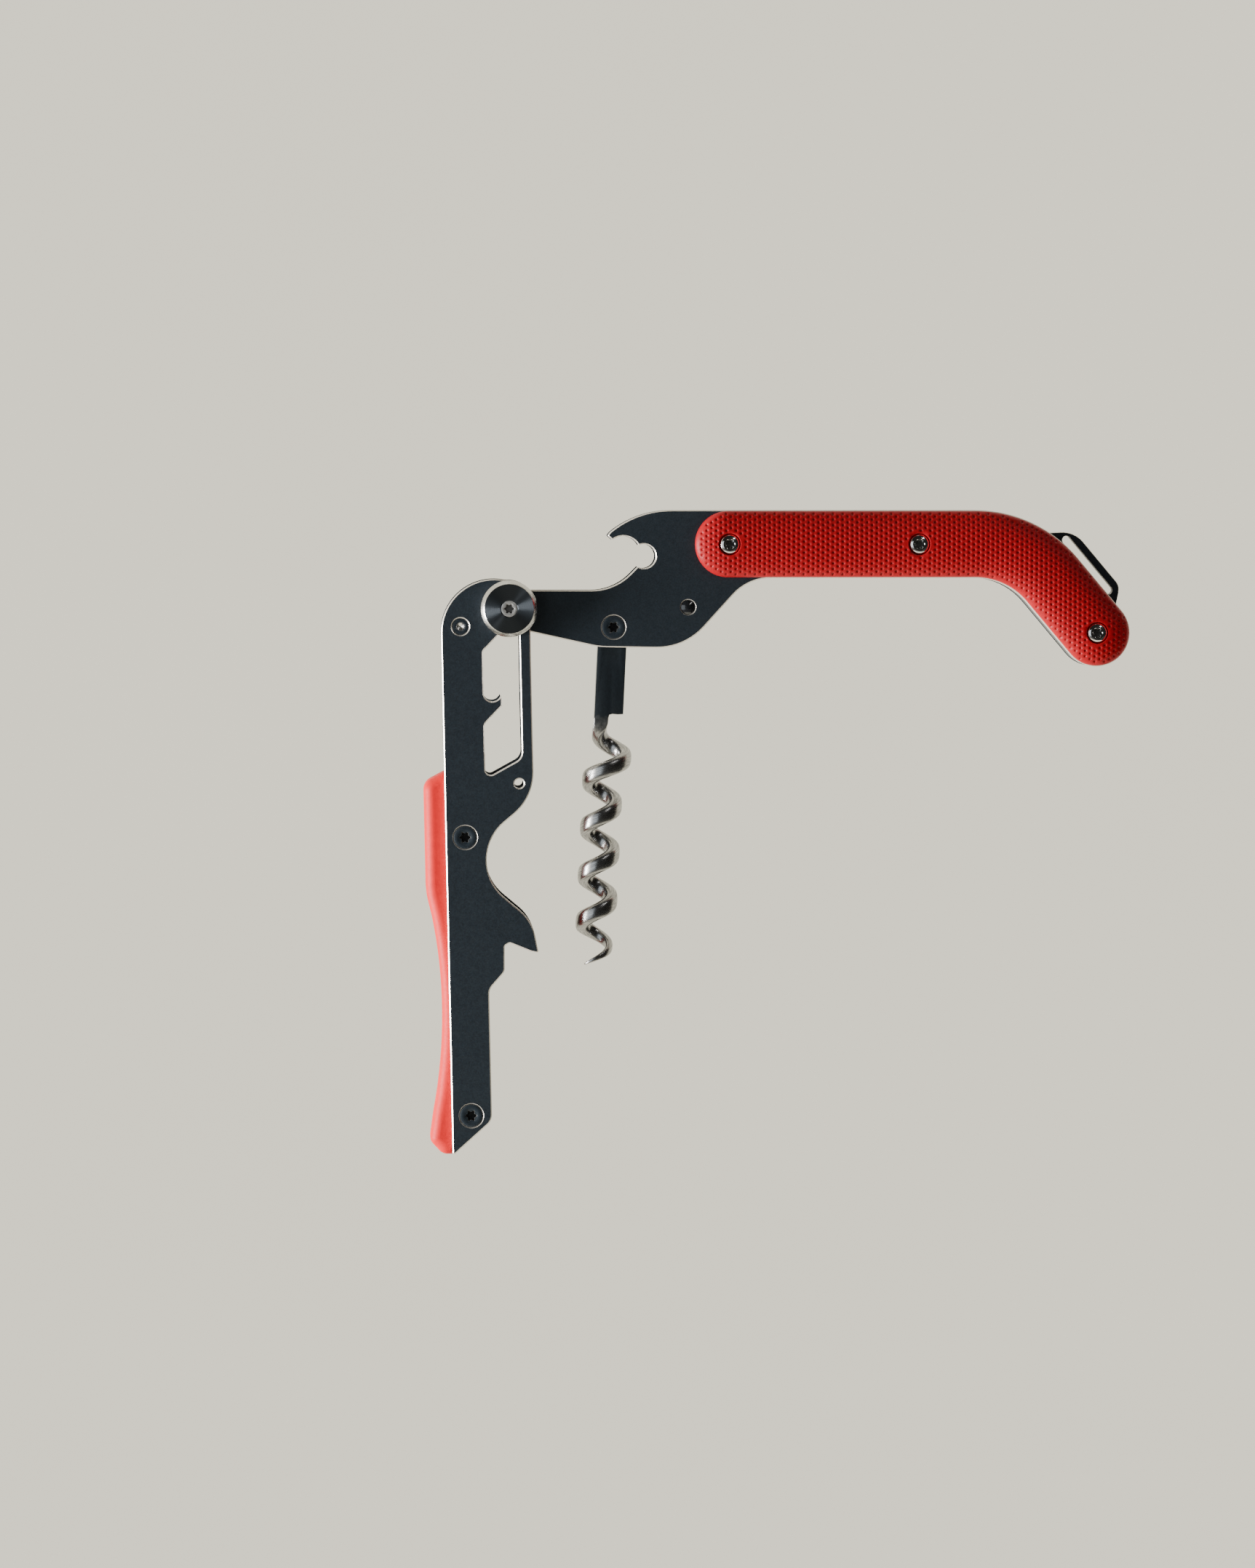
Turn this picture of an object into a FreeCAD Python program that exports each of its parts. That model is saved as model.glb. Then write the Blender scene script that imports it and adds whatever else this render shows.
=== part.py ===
"""Lever corkscrew with a cap lifter, as separate pieces in one parametric document.

The handle lies along +X, Y is its thickness (the front is -Y) and +Z is up. The origin is the tip of the
worm's axis. Three bodies move: the handle, the lever that turns on the pivot barrel, and the worm that turns
on its own axle in the handle.

Each body is drawn in a frame of its own. The handle's pieces are drawn about the lever's pivot, with x along
the grip. The lever's pieces are drawn about the same pivot, hanging straight down, and the worm about its
axle, also straight down. Placements then set them at their angles.
"""
import FreeCAD, Part
import math
import os

import Sketcher
from FreeCAD import Placement, Rotation, Vector

SIZES = (
    # Stack of plates, from the middle plane outwards
    ("handle_gap", 6.0, "clear width between the two handle plates"),
    ("plate_thick", 1.5, "thickness of each handle plate and lever plate"),
    ("washer_thick", 0.3, "thrust washer between a handle plate and a lever plate"),
    ("running_gap", 0.05, "side and radial clearance of everything that turns"),
    ("scale_thick", 2.6, "grip scale, above the handle plate"),
    ("knob_thick", 2.6, "pivot knob, above the lever plate"),
    ("edge_chamfer", 0.2, "broken edge of the plates' outer faces"),
    # Grip
    ("grip_height", 11.7, "centre line of the grip above the pivot"),
    ("grip_half", 6.2, "half the grip's width in the plates"),
    ("grip_bend_at", 93.8, "distance from the pivot to the grip's bend"),
    ("grip_bend_angle", 50.0, "downward bend of the tail, degrees"),
    ("grip_bend_radius", 18.5, "radius of the bend on the grip's centre line"),
    ("tail_run", 21.15, "length of the centre line from the bend to the tail's screw"),
    ("scale_start", 40.0, "centre of the scale's front end"),
    ("scale_inset", 0.15, "scale's edge inside the plate's edge"),
    ("core_start", 37.5, "centre of the core's front end"),
    ("core_inset", 0.1, "core's edge inside the plates' edges"),
    ("grip_screw_first", 40.2, "first grip screw"),
    ("grip_screw_middle", 74.8, "second grip screw; the third is at the tail's centre"),
    # Head of the handle
    ("boss_radius", 4.9, "round boss of the handle plate about the pivot"),
    ("arm_top", 3.3, "top edge of the arm above the pivot"),
    ("head_bottom", 7.3, "lowest edge of the head below the pivot"),
    ("jaw_radius", 2.2, "round inner notch of the cap lifter"),
    ("jaw_x", 24.6, "centre of the round notch, along the grip"),
    ("jaw_z", 9.5, "centre of the round notch, above the pivot"),
    # Lanyard loop on the core
    ("loop_reach", 9.1, "outer edge of the loop from the grip's centre line"),
    ("loop_slot", 1.56, "width of the loop's slot"),
    ("loop_thick", 2.5, "thickness of the loop"),
    # Worm
    ("worm_pivot_x", 19.1, "worm axle from the lever's pivot, along the grip"),
    ("worm_pivot_drop", 3.44, "worm axle below the lever's pivot"),
    ("worm_reach", 62.0, "axle to the tip of the worm"),
    ("worm_tilt", 2.7, "worm's lean towards the lever, degrees"),
    ("worm_axle_dia", 3.0, "sleeve that the worm turns on"),
    ("worm_washer_rim", 1.6, "width of the ring of the worm's washers"),
    ("shank_width", 5.3, "flat shank of the worm"),
    ("shank_thick", 2.6, "thickness of the shank, front to back"),
    ("shank_reach", 16.0, "axle to the end of the shank's full width"),
    ("wire_dia", 2.3, "wire of the helix"),
    ("helix_radius", 2.85, "helix of the wire's centre"),
    ("helix_pitch", 8.7, "rise of one turn"),
    ("helix_full", 23.9, "axle to the point where the helix has its full radius"),
    ("stop_pin_x", 32.7, "worm's stop pin from the lever's pivot, along the grip"),
    ("stop_pin_z", 0.2, "worm's stop pin above the lever's pivot"),
    ("stop_pin_dia", 1.8, "stop pin between the plates"),
    ("stop_pin_head", 2.5, "domed ends of the stop pin"),
    ("stop_pin_dome", 0.32, "height of the stop pin's domes"),
    ("stop_pin_proud", 0.22, "top of the stop pin's domes above the handle plates"),
    # Pivot
    ("pivot_dia", 6.0, "barrel that the handle plates turn on"),
    ("pivot_screw_dia", 2.5, "thread of the knobs' screws"),
    ("knob_dia", 10.3, "pivot knob"),
    ("knob_chamfer", 0.65, "bright chamfer of the knob"),
    ("pivot_screw_head", 3.0, "head of the knob's screw"),
    ("pivot_head_deep", 1.1, "head of the knob's screw, thickness"),
    ("pivot_head_sunk", 0.1, "head of the knob's screw below the knob's face"),
    # Lever
    ("lever_tilt", 1.2, "lever's lean towards the worm, degrees"),
    ("lever_length", 99.7, "pivot to the lever's pointed tip"),
    ("lever_back", 12.43, "pivot line to the lever's back edge"),
    ("lever_front", 3.8, "pivot line to the lever's front edge, above the thumb cut"),
    ("lever_nose", 5.12, "pivot line to the front edge of the lever's lower part, on its back side"),
    ("lever_crown", 9.7, "round top corner of the lever"),
    ("window_back", 4.95, "pivot line to the window's back edge"),
    ("window_front", 1.78, "pivot line to the window's front edge"),
    ("thumb_radius", 8.93, "round thumb cut"),
    ("thumb_at", 45.9, "centre of the thumb cut below the pivot"),
    ("thumb_front", 3.87, "centre of the thumb cut in front of the pivot line"),
    ("tie_hole_dia", 1.7, "small through hole beside the window"),
    ("tie_hole_below", 31.9, "small hole below the pivot"),
    ("tie_hole_front", 1.16, "small hole in front of the pivot line"),
    # Spine
    ("spine_proud", 3.8, "spine beyond the lever's back edge"),
    ("spine_clear", 8.1, "pivot line to the spine's inner face, where the folded worm lies"),
    ("spine_top", 29.6, "pivot to the spine's upper end"),
    ("spine_round", 1.9, "rounding of the spine's outer edges"),
    ("spine_screw_upper", 41.5, "upper spine screw below the pivot"),
    ("spine_screw_back", 8.9, "spine screws behind the pivot line"),
    ("spine_screw_lower", 7.3, "lower spine screw from the lever's tip"),
    # Fasteners
    ("flat_head_dia", 4.15, "flush screws' heads"),
    ("flat_head_deep", 1.0, "flush screws' heads, thickness"),
    ("head_fit", 0.1, "clearance round a screw's head"),
    ("thread_dia", 2.0, "flush screws' and grip screws' threads"),
    ("thread_reach", 2.6, "thread in the spine and in the pivot barrel"),
    ("thread_gap", 0.8, "space between the ends of two opposed threads in the handle"),
    ("grip_head_dia", 3.75, "grip screws' button heads"),
    ("grip_head_deep", 1.3, "grip screws' button heads, thickness"),
    ("grip_head_dome", 0.45, "fall of the button heads from middle to rim"),
    ("drive_deep", 0.8, "star recesses"),
    ("drive_flush", 2.1, "star recess of the flush screws, across its lobes"),
    ("drive_small", 1.9, "star recess of the other screws, across its lobes"),
    ("cross_pin_at", 3.08, "cross pin below the pivot"),
    ("cross_pin_dia", 4.2, "cross pin between the lever plates"),
    ("cross_pin_end", 3.1, "cross pin's ends in the lever plates"),
    ("cross_pin_sunk", 0.15, "cross pin's ends below the plates' faces"),
    ("cross_pin_dimple", 1.5, "centre dimples in the cross pin's ends"),
    ("cross_pin_dimple_deep", 0.35, "centre dimples, depth"),
)

FRONT, BACK = 1, -1
TIP_RADIUS = 0.15
HEAD_EDGE = 0.12
THREAD_EDGE = 0.3
NODES = []

doc = FreeCAD.newDocument("lever_corkscrew")
sheet = doc.addObject("Spreadsheet::Sheet", "Sizes")
for row, (alias, value, meaning) in enumerate(SIZES, start=1):
    sheet.set(f"A{row}", alias)
    sheet.set(f"B{row}", str(value))
    sheet.setAlias(f"B{row}", alias)
    sheet.set(f"C{row}", meaning)
doc.recompute()


def size(alias):
    """Value of one cell of the sheet."""
    return float(sheet.get(alias))


# ---------------------------------------------------------------- outlines

def via(x, z):
    """Point that the arc between its two neighbours passes through."""
    return ("via", x, z)


def flat(x, z):
    return Vector(x, z, 0)


def arc_through(start, middle, end):
    """Arc of a circle through three points, always counter-clockwise for the sketch."""
    a, b = middle - start, end - start
    cross = a.x * b.y - a.y * b.x
    centre = start + flat(b.y * a.Length ** 2 - a.y * b.Length ** 2,
                          a.x * b.Length ** 2 - b.x * a.Length ** 2) / (2 * cross)
    if cross < 0:
        start, end = end, start
    first = math.atan2(start.y - centre.y, start.x - centre.x)
    last = math.atan2(end.y - centre.y, end.x - centre.x)
    if last <= first:
        last += 2 * math.pi
    circle = Part.Circle(centre, Vector(0, 0, 1), (start - centre).Length)
    return Part.ArcOfCircle(circle, first, last)


def outline(entries):
    """Closed outline of lines and arcs.

    An entry is a corner (x, z), a rounded corner (x, z, radius) or a via point.
    """
    is_via = [entry[0] == "via" for entry in entries]
    points = [flat(*entry[1:]) if through else flat(*entry[:2]) for entry, through in zip(entries, is_via)]
    count = len(entries)
    arrive, leave, curves = {}, {}, []
    for i, entry in enumerate(entries):
        arrive[i] = leave[i] = points[i]
        if is_via[i] or len(entry) < 3:
            continue
        back = (points[i - 1] - points[i]).normalize()
        ahead = (points[(i + 1) % count] - points[i]).normalize()
        half_turn = (math.pi - back.getAngle(ahead)) / 2
        arrive[i] = points[i] + back * entry[2] * math.tan(half_turn)
        leave[i] = points[i] + ahead * entry[2] * math.tan(half_turn)
        inwards = (back + ahead).normalize()
        middle = points[i] + inwards * entry[2] * (1 / math.cos(half_turn) - 1)
        curves.append(arc_through(arrive[i], middle, leave[i]))
    for i in range(count):
        if is_via[i]:
            continue
        following = (i + 1) % count
        if is_via[following]:
            curves.append(arc_through(leave[i], points[following], arrive[(i + 2) % count]))
        elif (arrive[following] - leave[i]).Length > 1e-4:
            curves.append(Part.LineSegment(leave[i], arrive[following]))
    return curves


def star(radius):
    """Six-lobed drive recess about the sketch's origin."""
    def polar(distance, degrees):
        return flat(distance * math.cos(math.radians(degrees)), distance * math.sin(math.radians(degrees)))
    curves = []
    for lobe in range(0, 360, 60):
        curves.append(arc_through(polar(0.88 * radius, lobe - 13), polar(radius, lobe),
                                  polar(0.88 * radius, lobe + 13)))
        curves.append(arc_through(polar(0.88 * radius, lobe + 13), polar(0.7 * radius, lobe + 30),
                                  polar(0.88 * radius, lobe + 47)))
    return curves


def hanging(entries):
    """Turn lever entries (below the pivot, behind the pivot line) into the lever's own x and z."""
    turned = []
    for entry in entries:
        if entry[0] == "via":
            turned.append(via(-entry[2], -entry[1]))
        else:
            turned.append((-entry[1], -entry[0]) + tuple(entry[2:]))
    return turned


# ---------------------------------------------------------------- features

def new_body(label, place):
    body = doc.addObject("PartDesign::Body", label)
    body.Label = label
    body.Placement = place
    NODES.append(body)
    return body


def sketch(body, name, curves, offset="0", role="XZ_Plane"):
    """Sketch on a plane of the body's own origin, moved towards the front by offset."""
    drawing = body.newObject("Sketcher::SketchObject", name)
    plane = next(item for item in body.Origin.OriginFeatures if item.Role == role)
    drawing.AttachmentSupport = [(plane, "")]
    drawing.MapMode = "FlatFace"
    drawing.setExpression("AttachmentOffset.Base.z", offset)
    drawing.addGeometry(curves, False)
    return drawing


def circles(body, name, holes, offset="0"):
    """Sketch of circles, each bound to the sheet by its x, z and diameter."""
    blanks = [Part.Circle(flat(i, 0), Vector(0, 0, 1), 1) for i in range(len(holes))]
    drawing = sketch(body, name, blanks, offset)
    for i, (x, z, diameter) in enumerate(holes):
        for kind, bound in (("DistanceX", x), ("DistanceY", z)):
            index = drawing.addConstraint(Sketcher.Constraint(kind, -1, 1, i, 3, 1.0))
            drawing.setExpression(f"Constraints[{index}]", bound)
        index = drawing.addConstraint(Sketcher.Constraint("Diameter", i, 2.0))
        drawing.setExpression(f"Constraints[{index}]", diameter)
    return drawing


def pad(body, name, drawing, length):
    """Pad towards the front."""
    feature = body.newObject("PartDesign::Pad", name)
    feature.Profile = drawing
    feature.setExpression("Length", length)
    doc.recompute()
    return feature


def pocket(body, name, drawing, depth=None, from_side=FRONT):
    """Pocket of a given depth from one side, or right through."""
    before = body.Shape.Volume
    feature = body.newObject("PartDesign::Pocket", name)
    feature.Profile = drawing
    if depth is None:
        feature.Type = "ThroughAll"
        feature.Midplane = True
    else:
        feature.setExpression("Length", depth)
        feature.Reversed = from_side == BACK
    doc.recompute()
    if body.Shape.Volume > before - 1e-4:
        raise RuntimeError(f"{name} cuts nothing from {body.Label}")
    return feature


def face_names(feature, y):
    """Names of the flat faces across Y that lie at one y."""
    found = []
    for index, face in enumerate(feature.Shape.Faces, start=1):
        box = face.BoundBox
        if box.YLength < 1e-4 and abs(box.YMin - y) < 1e-3:
            found.append(f"Face{index}")
    return found


def dress(body, kind, name, feature, faces, bound):
    """Chamfer or fillet round the edges of the named faces."""
    trim = body.newObject(f"PartDesign::{kind}", name)
    trim.Base = (feature, faces)
    trim.setExpression("Size" if kind == "Chamfer" else "Radius", bound)
    doc.recompute()
    return trim


def revolve(body, name, curves):
    """Revolution about the body's Y axis of a half profile in (x, y)."""
    drawing = sketch(body, name + "_profile", curves, role="XY_Plane")
    feature = body.newObject("PartDesign::Revolution", name)
    feature.Profile = drawing
    feature.ReferenceAxis = (drawing, ["V_Axis"])
    feature.Angle = 360
    doc.recompute()
    return feature


# ---------------------------------------------------------------- places

HANDLE_OUTER = "Sizes.handle_gap / 2 + Sizes.plate_thick"
LEVER_INNER = HANDLE_OUTER + " + Sizes.washer_thick + Sizes.running_gap"
LEVER_OUTER = LEVER_INNER + " + Sizes.plate_thick"
SCALE_OUTER = HANDLE_OUTER + " + Sizes.scale_thick"
KNOB_OUTER = LEVER_OUTER + " + Sizes.knob_thick"

handle_inner = size("handle_gap") / 2
handle_outer = handle_inner + size("plate_thick")
lever_inner = handle_outer + size("washer_thick") + size("running_gap")
lever_outer = lever_inner + size("plate_thick")
scale_outer = handle_outer + size("scale_thick")
knob_outer = lever_outer + size("knob_thick")

worm_lean = math.radians(size("worm_tilt"))
pivot = Vector(size("worm_reach") * math.sin(worm_lean) - size("worm_pivot_x"), 0,
               size("worm_reach") * math.cos(worm_lean) + size("worm_pivot_drop"))
worm_axle = pivot + Vector(size("worm_pivot_x"), 0, -size("worm_pivot_drop"))

ON_HANDLE = Placement(pivot, Rotation())
ON_LEVER = Placement(pivot, Rotation(Vector(0, 1, 0), -size("lever_tilt")))
ON_WORM = Placement(worm_axle, Rotation(Vector(0, 1, 0), size("worm_tilt")))

bend = math.radians(size("grip_bend_angle"))
tail_along = flat(math.cos(bend), -math.sin(bend))
tail_across = flat(math.sin(bend), math.cos(bend))
grip_corner = flat(size("grip_bend_at"), size("grip_height"))
tail_centre = grip_corner + tail_along * size("tail_run")


def beside_tail(along, across):
    """Point in the tail's own directions, from the bend of the centre line."""
    place = grip_corner + tail_along * along + tail_across * across
    return place.x, place.y


def side_offset(side, inner, thick):
    """Plane to pad from, towards the front, for a layer on one side of the middle plane."""
    return inner if side == FRONT else f"-({inner} + {thick})"


def side_name(side):
    return "front" if side == FRONT else "back"


def facing(place, side):
    """The placement itself at the front, or turned half round about Z at the back."""
    return place if side == FRONT else place * Placement(Vector(), Rotation(Vector(0, 0, 1), 180))


# ---------------------------------------------------------------- handle

GRIP_SCREWS = (("Sizes.grip_screw_first", "Sizes.grip_height"),
               ("Sizes.grip_screw_middle", "Sizes.grip_height"),
               ("Sizes.grip_bend_at + Sizes.tail_run * cos(Sizes.grip_bend_angle * 1deg)",
                "Sizes.grip_height - Sizes.tail_run * sin(Sizes.grip_bend_angle * 1deg)"))


def band_end(half):
    """Outline of the bent grip from its top edge, round the tail, to its bottom edge."""
    radius = size("grip_bend_radius")
    mitre = half * math.tan(bend / 2)
    top, bottom = grip_corner.y + half, grip_corner.y - half
    reach = size("tail_run") + half
    return [(grip_corner.x + mitre, top, radius + half),
            beside_tail(reach, half) + (half,),
            beside_tail(reach, -half) + (half,),
            (grip_corner.x - mitre, bottom, radius - half)]


def band(start, half):
    """Outline of the whole bent grip band, round at both ends."""
    top, bottom = grip_corner.y + half, grip_corner.y - half
    return [(start - half, top, half)] + band_end(half) + [(start - half, bottom, half)]


def handle_outline():
    """Handle plate: boss, arm, cap-lifter jaw and hook, grip, S-shaped lower edge."""
    boss, arm_top, lowest = size("boss_radius"), size("arm_top"), -size("head_bottom")
    grip_top = size("grip_height") + size("grip_half")
    grip_bottom = size("grip_height") - size("grip_half")
    jaw_x, jaw_z, jaw_r = size("jaw_x"), size("jaw_z"), size("jaw_radius")
    boss_foot = 2.8
    return outline(
        [(math.sqrt(boss ** 2 - arm_top ** 2), arm_top),
         (jaw_x - 5.3, arm_top, 10.0),
         (jaw_x - 1.1, jaw_z - 1.9),
         via(jaw_x + jaw_r, jaw_z),
         (jaw_x - 0.9, jaw_z + 2.0),
         via(jaw_x - 3.1, jaw_z + 3.6),
         (jaw_x - 5.7, jaw_z + 3.0),
         (jaw_x - 6.6, jaw_z + 3.75, 0.3),
         (jaw_x - 6.1, grip_top - 4.0),
         via(jaw_x - 0.9, grip_top - 1.03),
         (jaw_x + 5.0, grip_top)]
        + band_end(size("grip_half"))
        + [(43.7, grip_bottom, 9.4),
           (32.1, lowest, 11.5),
           (16.4, lowest + 0.25, 14.0),
           (boss_foot, -math.sqrt(boss ** 2 - boss_foot ** 2)),
           via(-boss, 0)])


def handle_plate(side):
    body = new_body(f"handle_plate_{side_name(side)}", ON_HANDLE)
    offset = side_offset(side, "Sizes.handle_gap / 2", "Sizes.plate_thick")
    outer_y = -side * handle_outer
    pad(body, "sheet", sketch(body, "outline", handle_outline(), offset), "Sizes.plate_thick")
    bores = [("0", "0", "Sizes.pivot_dia + 2 * Sizes.running_gap"),
             ("Sizes.worm_pivot_x", "-Sizes.worm_pivot_drop", "Sizes.thread_dia"),
             ("Sizes.stop_pin_x", "Sizes.stop_pin_z", "Sizes.stop_pin_dia")]
    bores += [(x, z, "Sizes.thread_dia") for x, z in GRIP_SCREWS]
    pocket(body, "bores", circles(body, "bore_circles", bores))
    outer = HANDLE_OUTER if side == FRONT else f"-({HANDLE_OUTER})"
    seat = [("Sizes.worm_pivot_x", "-Sizes.worm_pivot_drop", "Sizes.flat_head_dia + Sizes.head_fit")]
    pocket(body, "screw_seat", circles(body, "seat_circle", seat, outer), "Sizes.flat_head_deep", side)
    dimple = [("Sizes.stop_pin_x", "Sizes.stop_pin_z", "Sizes.stop_pin_head + Sizes.head_fit")]
    seat = pocket(body, "pin_seat", circles(body, "pin_circle", dimple, outer), "Sizes.plate_thick / 2", side)
    dress(body, "Chamfer", "broken_edges", seat, face_names(seat, outer_y), "Sizes.edge_chamfer")
    return body


def handle_core():
    """Spacer that fills the grip between the plates, with a thinner lanyard loop beside the tail."""
    body = new_body("handle_core", ON_HANDLE)
    half = size("grip_half") - size("core_inset")
    filler = sketch(body, "band", outline(band(size("core_start"), half)), "-Sizes.handle_gap / 2")
    pad(body, "filler", filler, "Sizes.handle_gap")
    reach, slot = size("loop_reach"), size("loop_slot")
    end = size("tail_run") - 4.25
    loop = [beside_tail(0.4, half - 2.6),
            beside_tail(4.7, reach) + (5.0,),
            beside_tail(end + 0.8, reach) + (2.3,),
            beside_tail(end + 4.4, half - 1.6),
            beside_tail(end, 0)]
    loop_sketch = sketch(body, "loop_outline", outline(loop), "-Sizes.loop_thick / 2")
    pad(body, "loop", loop_sketch, "Sizes.loop_thick")
    near, far = size("grip_half") - 0.02, size("grip_half") - 0.02 + slot
    hole = [beside_tail(4.15, near) + (slot / 2 - 0.01,),
            beside_tail(4.15, far) + (slot / 2 - 0.01,),
            beside_tail(end + 0.75, far) + (slot / 2 - 0.01,),
            beside_tail(end + 0.75, near) + (slot / 2 - 0.01,)]
    pocket(body, "slot", sketch(body, "slot_outline", outline(hole)))
    taps = [(x, z, "Sizes.thread_dia") for x, z in GRIP_SCREWS]
    pocket(body, "taps", circles(body, "tap_circles", taps))
    return body


def grip_scale(side):
    """Crowned grip scale on the outer face of a handle plate."""
    body = new_body(f"grip_scale_{side_name(side)}", ON_HANDLE)
    half = size("grip_half") - size("scale_inset")
    offset = side_offset(side, HANDLE_OUTER, "Sizes.scale_thick")
    slab = pad(body, "slab", sketch(body, "band", outline(band(size("scale_start"), half)), offset),
               "Sizes.scale_thick")
    dress(body, "Fillet", "crown", slab, face_names(slab, -side * scale_outer), "Sizes.scale_thick * 0.8")
    pocket(body, "holes", circles(body, "hole_circles", [(x, z, "Sizes.thread_dia") for x, z in GRIP_SCREWS]))
    outer = SCALE_OUTER if side == FRONT else f"-({SCALE_OUTER})"
    seats = [(x, z, "Sizes.grip_head_dia + 2 * Sizes.head_fit") for x, z in GRIP_SCREWS]
    pocket(body, "seats", circles(body, "seat_circles", seats, outer), "Sizes.grip_head_deep", side)
    return body


# ---------------------------------------------------------------- fasteners

def screw(label, place, head, thread, dome=0):
    """Screw whose head's face is at y = 0 and whose thread points to +y, with a star recess.

    head is (diameter, thickness, diameter of the recess) and thread is (diameter, length).
    """
    body = new_body(label, place)
    head_radius, head_deep, star_radius = head[0] / 2, head[1], head[2] / 2
    thread_radius, end = thread[0] / 2, head[1] + thread[1]
    if dome:
        rim = [via(head_radius * 0.86, dome * 0.42), (head_radius, dome)]
    else:
        rim = [(head_radius, 0, HEAD_EDGE)]
    revolve(body, "turned", outline(
        [(0, 0), (star_radius * 1.15, 0)] + rim
        + [(head_radius, head_deep), (thread_radius, head_deep),
           (thread_radius, end, THREAD_EDGE), (0, end)]))
    pocket(body, "recess", sketch(body, "recess_outline", star(star_radius)), "Sizes.drive_deep")
    return body


def place_in(frame, x, z, depth, side):
    """Placement of a fastener whose head is at a depth from the middle plane, on one side."""
    spot = frame * Placement(Vector(x, -side * depth, z), Rotation())
    return facing(spot, side)


def fastener_group(label, screws):
    """One node that holds several identical fasteners as separate solids."""
    group = doc.addObject("Part::Feature", label)
    group.Label = label
    group.Shape = Part.makeCompound([item.Shape.copy() for item in screws])
    for item in screws:
        NODES.remove(item)
    NODES.append(group)
    return group


def grip_screws(side):
    spots = [(size("grip_screw_first"), size("grip_height")),
             (size("grip_screw_middle"), size("grip_height")),
             (tail_centre.x, tail_centre.y)]
    head = size("grip_head_dia"), size("grip_head_deep"), size("drive_small")
    thread = size("thread_dia"), scale_outer - size("grip_head_deep") - size("thread_gap") / 2
    screws = [screw(f"grip_screw_{side_name(side)}_{i}", place_in(ON_HANDLE, x, z, scale_outer, side),
                    head, thread, size("grip_head_dome")) for i, (x, z) in enumerate(spots)]
    return fastener_group(f"grip_screws_{side_name(side)}", screws)


def flush_screw(label, frame, x, z, outer, side, reach):
    """Flush flat-head screw in a plate, with its thread's reach beyond the plate."""
    head = size("flat_head_dia"), size("flat_head_deep"), size("drive_flush")
    thread = size("thread_dia"), size("plate_thick") - size("flat_head_deep") + reach
    return screw(label, place_in(frame, x, z, outer, side), head, thread)


def spine_screws(side):
    spots = [size("spine_screw_upper"), size("lever_length") - size("spine_screw_lower")]
    screws = [flush_screw(f"spine_screw_{side_name(side)}_{i}", ON_LEVER, -size("spine_screw_back"), -below,
                          lever_outer, side, size("thread_reach")) for i, below in enumerate(spots)]
    return fastener_group(f"spine_screws_{side_name(side)}", screws)


def dome_middle(radius, height):
    """Point half-way down a round cap: its distance from the axis and below the cap's top."""
    ball = (radius ** 2 + height ** 2) / (2 * height)
    half_angle = math.asin(radius / ball) / 2
    return ball * math.sin(half_angle), ball * (1 - math.cos(half_angle))


def turned(label, place, entries):
    """Piece turned about the Y axis through its placement; entries are (radius, y)."""
    body = new_body(label, place)
    revolve(body, "turned", outline(entries))
    return body


def sleeve(label, place, inner, outer, low, high):
    return turned(label, place, [(inner, low), (outer, low), (outer, high), (inner, high)])


def worm_stop_pin():
    """Cross pin with shallow domed heads, just proud of the handle plates."""
    shaft, head = size("stop_pin_dia") / 2, size("stop_pin_head") / 2
    seat = handle_outer - size("plate_thick") / 2
    proud = handle_outer + size("stop_pin_proud")
    out, drop = dome_middle(head, size("stop_pin_dome"))
    rim = proud - size("stop_pin_dome")
    return turned("worm_stop_pin",
                  ON_HANDLE * Placement(Vector(size("stop_pin_x"), 0, size("stop_pin_z")), Rotation()),
                  [(0, -proud), via(out, -proud + drop), (head, -rim), (head, -seat), (shaft, -seat),
                   (shaft, seat), (head, seat), (head, rim), via(out, proud - drop), (0, proud)])


# ---------------------------------------------------------------- worm

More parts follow.
